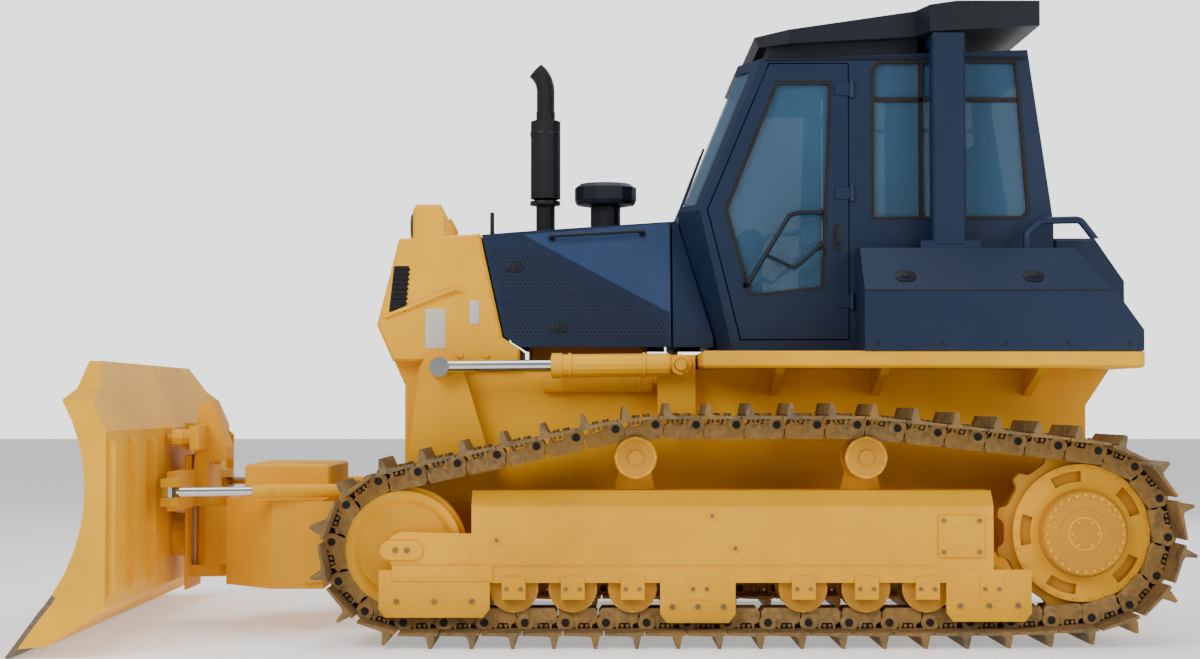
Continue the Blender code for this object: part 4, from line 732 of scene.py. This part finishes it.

# %% [markdown]
# The guard carries two lamps in pods, a grille of round bars, a mesh vent on each side, a stiffening tube and two
# plates, which stay blank. Each vent is louvre bars on a flat black plate, which is painted shade for the dark behind
# the mesh. Bolts hold it to the hull.

# %% Radiator guard
GUARD_Y = 0.52
GRILLE_LINE = [Vector(point) for point in ((-1.029, 0.62), (-1.029, 1.213), (-1.162, 1.508), (-1.060, 1.90))]
slats = bmesh.new()
for a, b in zip(GRILLE_LINE, GRILLE_LINE[1:]):
    count = round((b - a).length / 0.042)
    for step in range(count):
        spot = a.lerp(b, (step + 0.5) / count)
        bar(slats, (spot.x + 0.004, -0.372, spot.y), (spot.x + 0.004, 0.372, spot.y), 0.008, 10)
for y in (-0.25, 0.0, 0.25):
    for a, b in zip(GRILLE_LINE, GRILLE_LINE[1:]):
        bar(slats, (a.x + 0.008, y, a.y + 0.01), (b.x + 0.008, y, b.y - 0.01), 0.010, 10)
piece("grille_bars", slats, BLACK)

guard, plates, vents, lenses = bmesh.new(), bmesh.new(), bmesh.new(), bmesh.new()
for name, side in SIDES:
    y = side * GUARD_Y
    stay = [(-1.119, y + side * 0.004, 1.548), (-0.774, y + side * 0.018, 1.686), (-0.735, y - side * 0.004, 1.672)]
    tube(guard, stay, 0.011)
    for x in (-0.62, -0.75, -0.88):
        bar(guard, (x, y, 1.36), (x, y + side * 0.012, 1.36), 0.015, 6)
    for z in (1.46, 1.56, 1.66, 1.76, 1.86):
        x = -0.53 - (z - 1.447) * 0.222 - 0.03
        bar(guard, (x, y, z), (x, y + side * 0.006, z), 0.009, 12)
    for low, high in (((-0.922, 1.392), (-0.822, 1.588)), ((-0.705, 1.512), (-0.655, 1.628))):
        box(plates, (low[0], high[0]), sorted((y, y + side * 0.003)), (low[1], high[1]), 0.001)
    # Painted shade: the vent's flat black plate stands for the dark behind its openings.
    vent = [(-1.100, 1.573), (-1.018, 1.573), (-1.000, 1.799), (-1.075, 1.799)]
    plate(vents, vent, y - side * 0.001, y + side * 0.002)
    for step in range(9):
        z = 1.590 + step * 0.024
        front, rear = -1.092 + step * 0.0025, -1.012 + step * 0.002
        bar(vents, (front, y + side * 0.004, z), (rear, y + side * 0.004, z), 0.0045, 6)
    centre = (side * 0.42, 2.000)
    bar(vents, (-0.984, centre[0], centre[1]), (-0.997, centre[0], centre[1]), 0.066, 32, bevel=0.003)
    bar(lenses, (-0.995, centre[0], centre[1]), (-1.004, centre[0], centre[1]), 0.056, 32, bevel=0.004)
piece("guard_fittings", guard, YELLOW)
piece("blank_plates", plates, BLANK_PLATE)
piece("guard_vents", vents, SOOT_AND_HOLE_SHADE)
piece("lamp_lenses", lenses, LAMP_GLASS)

# %% [markdown]
# On top of the hood stand the exhaust with its clamps, a filler cap and a marker post.

# %% On the hood
top = bmesh.new()
bar(top, (-0.616, 0, 1.93), (-0.616, 0, 2.11), 0.011, 16, bevel=0.003)
bar(top, (0.38, 0, 2.02), (0.38, 0, 2.075), 0.045, 32, bevel=0.004)
bar(top, (0.38, 0, 2.07), (0.38, 0, 2.098), 0.036, 10, bevel=0.004)
for z in (2.145, 2.505):
    bar(top, (-0.342, 0, z), (-0.342, 0, z + 0.022), 0.0785, 40, bevel=0.003)
for step in range(8):
    angle = math.pi * step / 4
    spot = Vector((-0.342 + 0.086 * math.cos(angle), 0.086 * math.sin(angle), 1.992 - 0.0069 * math.cos(angle)))
    bar(top, spot - Vector((0, 0, 0.02)), spot + Vector((0, 0, 0.012)), 0.008, 6)
piece("hood_top_fittings", top, BLACK)

# %% [markdown]
# The leaning part of each engine door and the top of each fender catch the sky, and their blue looks lighter and
# greyer than the upright sheet below. A thin skin of lighter blue lies on the leaning facet of the hood: a painted
# highlight for the sky light that facet catches.

# %% Painted sky highlight on the leaning facets
SKIN = 0.0012
for name, side in SIDES:
    facet = bmesh.new()
    corners = [(-0.44, 1.955), (0.286, 2.024), (0.286, 1.568)]
    shares = []
    for x, z in corners:
        y = hood_y(x, z)
        shares.append((x, side * y, z))
    lower = [facet.verts.new(Vector(corner)) for corner in shares]
    face = facet.faces.new(lower)
    facet.normal_update()
    out = face.normal * (1.0 if face.normal.y * side > 0 else -1.0)
    pushed = bmesh.ops.extrude_face_region(facet, geom=[face])["geom"]
    verts = [item for item in pushed if isinstance(item, bmesh.types.BMVert)]
    bmesh.ops.translate(facet, vec=out * SKIN, verts=verts)
    piece(f"hood_facet_sky_highlight_{name}", facet, NAVY_SKY_HIGHLIGHT, f"engine_door_{name}")

# %% [markdown]
# ## Cab
# Black rubber holds each pane. It is a flat frame just inside the window's outline, made by insetting a face and
# taking the middle out. The doors carry a grab bar and a handle, which swing with them.

# %% Rubbers, handles and bars
CAB_Y = 0.62
PANE_Y = 0.6003  # just off the outer face of the glass
DOOR_WINDOW = [(0.665, 1.64), (0.545, 2.07), (0.80, 2.70), (1.075, 2.70), (1.035, 1.68)]
SIDE_WINDOW = [(1.265, 2.02), (1.265, 2.76), (1.31, 2.807), (1.985, 2.807), (2.045, 2.06), (2.01, 2.02)]
for name, side in SIDES:
    y = side * CAB_Y
    rubber = bmesh.new()
    rim(rubber, DOOR_WINDOW, 0.020, side * PANE_Y, y + side * 0.003)
    piece(f"door_rubber_{name}", rubber, DARK_HOSE, f"door_{name}")

    rubber = bmesh.new()
    rim(rubber, SIDE_WINDOW, 0.020, side * PANE_Y, y + side * 0.003)
    box(rubber, (1.28, 2.00), sorted((side * (PANE_Y + 0.001), side * (PANE_Y + 0.012))), (2.600, 2.622))
    box(rubber, (1.50, 1.522), sorted((side * (PANE_Y + 0.001), side * (PANE_Y + 0.012))), (2.03, 2.80))
    piece(f"side_window_rubber_{name}", rubber, DARK_HOSE)

    bars = bmesh.new()
    reach = side * 0.662
    grab = [(0.657, y, 1.698), (0.664, reach, 1.712), (0.861, reach, 2.038), (0.90, reach, 2.050)]
    tube(bars, [*grab, (1.017, reach, 2.052), (1.030, y, 2.052)], 0.011)
    tube(bars, [(1.024, y, 1.892), (1.014, reach, 1.892), (0.886, reach, 1.780), (0.744, reach, 1.845)], 0.009)
    for x, z in ((0.657, 1.698), (1.030, 2.052), (1.024, 1.892)):
        bar(bars, (x, y, z), (x, y + side * 0.006, z), 0.022, 20, bevel=0.002)
    plate(bars, oblong((1.098, 1.93), 0.05, 0.022, math.pi / 2), y, y + side * 0.008, bevel=0.002)
    plate(bars, oblong((1.098, 1.94), 0.03, 0.010, math.pi / 2), y + side * 0.008, y + side * 0.022, bevel=0.003)
    piece(f"door_bars_{name}", bars, BLACK, f"door_{name}")

# %% [markdown]
# The windscreen wiper rests against the raked glass, and a rain gutter follows the top of each side.

# %% Wiper and gutters
cab = bmesh.new()
for name, side in SIDES:
    y = side * (CAB_Y + 0.006)
    tube(cab, [(0.752, y, 2.808), (1.17, y, 2.812), (2.02, y, 2.812)], 0.007, 8)
    tube(cab, [(0.425, side * 0.30, 2.09), (0.36, side * 0.285, 2.13), (0.47, side * 0.16, 2.42)], 0.006, 8)
piece("cab_trim", cab, BLACK)

# %% [markdown]
# ## Seat
# A seat cushion is foam in cloth: crowned on top, its sides pulled in between the corners. A finely divided cube is
# pushed to that shape, point by point, so that it stays a closed soft form.

# %% Padded seat
def cushion(name, low, high, crown_axis, node):
    """A padded block between two corners. Its crown is on the side that crown_axis points to."""
    bm = bmesh.new()
    bmesh.ops.create_cube(bm, size=2.0)
    bmesh.ops.subdivide_edges(bm, edges=bm.edges[:], cuts=22, use_grid_fill=True)
    low, high = Vector(low), Vector(high)
    half, middle = (high - low) / 2, (high + low) / 2
    along = [axis for axis in range(3) if axis != crown_axis]
    for vert in bm.verts:
        share = vert.co.copy()
        place = Vector((0.0, 0.0, 0.0))
        for axis in range(3):
            others = [abs(share[other]) for other in range(3) if other != axis]
            pinch = 1.0 - 0.10 * others[0] ** 6 - 0.10 * others[1] ** 6
            place[axis] = share[axis] * pinch
        for axis in along:
            place[axis] *= 1.0 - 0.03 * (1.0 - share[along[1 - along.index(axis)]] ** 2)
        falls = [(1.0 - share[axis] ** 4) for axis in along]
        channel = 0.05 * math.exp(-((abs(share[along[1]]) - 0.62) / 0.05) ** 2)
        place[crown_axis] *= 0.86 + 0.14 * falls[0] * falls[1] - (channel if share[crown_axis] > 0.5 else 0.0)
        vert.co = middle + Vector((place[axis] * half[axis] for axis in range(3)))
    made = piece(name, bm, SEAT_CLOTH, smooth=60, replaces=(node,))
    return made


cushion("seat_cushion_padded", (1.27, -0.25, 1.70), (1.76, 0.25, 1.845), 2, "seat_cushion")

# %% [markdown]
# The backrest leans, so it is padded the same way on the axes of its own slope, then turned about its foot.

# %% Backrest
BACK_LEAN = math.radians(11.0)
backrest = cushion("seat_back_padded", (1.70, -0.23, 1.82), (1.83, 0.23, 2.46), 0, "seat_back")
foot = Vector((1.765, 0.0, 1.83))
turn = Matrix.Translation(foot) @ Matrix.Rotation(BACK_LEAN, 4, "Y") @ Matrix.Translation(-foot)
backrest.data.transform(turn)
low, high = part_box("seat_back")
print("frame's backrest", [round(v, 3) for v in (*low, *high)])

controls = bmesh.new()
for side in (-1, 1):
    for x in (1.30, 1.42):
        foot = Vector((x, side * 0.38, 2.02))
        tip = foot + Vector((-0.03, 0, 0.14))
        bar(controls, foot, tip, 0.007, 12)
        bmesh.ops.create_uvsphere(controls, u_segments=16, v_segments=10, radius=0.021, matrix=Matrix.Translation(tip))
piece("control_levers", controls, PLASTIC)

# %% [markdown]
# ## Fenders, track frames and cylinders
# Flush latches sit in the fenders' sloping tops. They are drawn in the slope's own directions: along the machine,
# up the slope, and out of it.

# %% Fender latches and edges
FENDER_EDGE, FENDER_CREST = Vector((0.978, 1.66)), Vector((0.80, 1.87))  # y and z of the slope's two ends
slope = (FENDER_CREST - FENDER_EDGE).normalized()
lift = Vector((slope.y, -slope.x))
for name, side in SIDES:
    latches = bmesh.new()

    def on_slope(u, v, depth):
        spot = FENDER_EDGE + slope * v + lift * depth
        return (u, side * spot.x, spot.y)

    for x in (1.388, 1.995):
        plate(latches, oblong((x, 0.085), 0.016, 0.034), 0.0, 0.005, bevel=0.0015, place=on_slope)
        plate(latches, oblong((x, 0.085), 0.012, 0.012), 0.005, 0.011, bevel=0.002, place=on_slope)
    box(latches, (1.19, 2.37), sorted((side * 0.9775, side * 0.9795)), (1.652, 1.660))
    for x in (1.25, 1.55, 1.85, 2.15, 2.44):
        bar(latches, (x, side * 0.977, 1.405), (x, side * 0.9798, 1.405), 0.011, 12)
    piece(f"fender_latches_{name}", latches, BLACK)

    strips = bmesh.new()
    box(strips, (0.44, 2.49), sorted((side * 0.978, side * 0.9815)), (1.352, 1.366))
    piece(f"deck_edge_{name}", strips, YELLOW)

# %% [markdown]
# A track frame is a welded box. Its outer face shows a bearing boss at the idler, plugs, a bolted cover over the
# recoil spring's grease valve, a rubbing bar low down, weld beads, and the bolts of the roller guards.

# %% Track frame fittings
FRAME_Y = 1.10
COVER = ((1.51, 1.72), (0.41, 0.60))
for name, side in SIDES:
    y = side * FRAME_Y
    welded, bolted = bmesh.new(), bmesh.new()
    plate(welded, oblong((-0.985, 0.4415), 0.055, 0.046), y - side * 0.002, y + side * 0.011, bevel=0.004)
    box(welded, (-1.03, -0.56), sorted((y, y + side * 0.010)), (0.296, 0.372), 0.004)
    for x, z in ((-0.543, 0.487), (0.565, 0.45), (0.458, 0.60)):
        bar(welded, (x, y - side * 0.002, z), (x, y + side * 0.007, z), 0.024, 24, bevel=0.002)
        bar(bolted, (x, y + side * 0.006, z), (x, y + side * 0.0115, z), 0.011, 6)
    bar(welded, (-0.65, y, 0.647), (1.76, y, 0.647), 0.0055, 8)
    bar(welded, (-0.62, y, 0.372), (1.50, y, 0.372), 0.0055, 8)
    plate(welded, oblong((1.615, 0.500), 0.030, 0.058), side * 1.111, side * 1.1145, bevel=0.001)
    for x in (COVER[0][0] + 0.022, COVER[0][1] - 0.022):
        for z in (COVER[1][0] + 0.022, COVER[1][1] - 0.022):
            bar(bolted, (x, side * 1.111, z), (x, side * 1.1195, z), 0.011, 6)
    for x in (-1.012, -0.958):
        bar(bolted, (x, y + side * 0.010, 0.4415), (x, y + side * 0.0165, 0.4415), 0.015, 6)
    for front, rear, low in ((-1.09, -0.575, 0.13), (0.216, 0.565, 0.105), (1.545, 1.94, 0.11)):
        for share in (0.16, 0.5, 0.84):
            x = front + (rear - front) * share
            bar(bolted, (x, side * 1.103, low + 0.075), (x, side * 1.113, low + 0.075), 0.013, 6)
    for x, _ in ROLLERS:
        bar(bolted, (x - 0.032, side * 1.100, 0.262), (x - 0.032, side * 1.1145, 0.262), 0.010, 6)
        bar(bolted, (x + 0.032, side * 1.100, 0.262), (x + 0.032, side * 1.1145, 0.262), 0.010, 6)
    piece(f"track_frame_welds_{name}", welded, YELLOW_LOW)
    piece(f"track_frame_bolts_{name}", bolted, BOLT_STEEL, smooth=20)

# %% [markdown]
# Each cylinder's open end has a gland, a collar with a wiper seal that the rod slides through. It belongs to the
# barrel, so it turns with it. Below the lift cylinder a tube along the hull carries its oil.

# %% Glands and tubes
def gland(base, eye, length, radius, proud, body, name):
    """The collar at a barrel's open end, and two bands, which stand proud of the barrel by this much."""
    base, eye = Vector(base), Vector(eye)
    along = (eye - base).normalized()
    collar = bmesh.new()
    for start, end in ((length - 0.055, length - 0.004), (0.17, 0.185), (length - 0.10, length - 0.085)):
        bar(collar, base + along * start, base + along * end, radius + proud, 32, bevel=0.001)
    piece(name, collar, YELLOW, body)


for name, side in SIDES:
    y = side * 0.655
    gland((0.33, y, 1.31), (-0.84, y, 1.30), 0.63, 0.056, 0.006, f"lift_{name}_barrel", f"lift_gland_{name}")
    base, eye = (-1.09, side * 0.495, 0.697), (-2.127, side * 0.78, 0.697)
    gland(base, eye, 0.64, 0.0325, 0.0012, f"angle_{name}_barrel", f"angle_gland_{name}")
    pipes = bmesh.new()
    bar(pipes, (-0.34, side * 0.508, 1.212), (0.20, side * 0.508, 1.212), 0.0365, 32, bevel=0.008)
    for x in (-0.26, 0.12):
        bar(pipes, (x, side * 0.508, 1.212), (x + 0.022, side * 0.508, 1.212), 0.041, 32, bevel=0.002)
        box(pipes, (x, x + 0.022), sorted((side * 0.466, side * 0.508)), (1.180, 1.244))
    piece(f"lift_oil_tube_{name}", pipes, YELLOW)
gland((-2.172, -0.30, 0.95), (-2.172, 0.35, 0.95), 0.40, 0.0425, 0.0012, "tilt_barrel", "tilt_gland")

# %% [markdown]
# ## Blade
# The moldboard is rolled plate welded to a boxed back. The cutting edge is bolted on in lengths, with an end bit at
# each corner, so that what wears can be replaced. The bolts and welds ride with the blade.

# %% Edge bolts and welds
FACE_CENTRE, FACE_R, BLADE_HALF = Vector((-3.151, 0.74)), 0.82, 1.6375


def face_point(z):
    return Vector((FACE_CENTRE.x + math.sqrt(FACE_R**2 - (z - FACE_CENTRE.y) ** 2), z))


bolts, welds = bmesh.new(), bmesh.new()
for z in (0.235, 0.15):
    foot = face_point(max(z, 0.20))
    if z < 0.20:
        foot = foot.lerp(Vector((-2.6766, 0.004)), (0.20 - z) / 0.196)
    inward = (FACE_CENTRE - foot).normalized()
    for step in range(20):
        y = -1.52 + step * 0.16
        tip = foot + inward * 0.010
        bar(bolts, (foot.x, y, foot.y), (tip.x, y, tip.y), 0.0165, 16, bevel=0.004)
piece("edge_bolts", bolts, RUBBED_STEEL, "blade")

for z, radius in ((1.01, 0.006), (0.30, 0.006)):
    spot = face_point(z)
    bar(welds, (spot.x, -1.60, z), (spot.x, 1.60, z), radius, 8)
for y in (-1.33, -0.55, 0.55, 1.33):
    for low, high in zip((0.31, 0.45, 0.60, 0.75, 0.90), (0.45, 0.60, 0.75, 0.90, 1.05)):
        a, b = face_point(low), face_point(high)
        if abs(y) > 1.0:
            bar(welds, (a.x, y, low), (b.x, y, high), 0.005, 8)
piece("blade_welds", welds, YELLOW_LOW, "blade")

# %% [markdown]
# ## The end

# %% End
import json
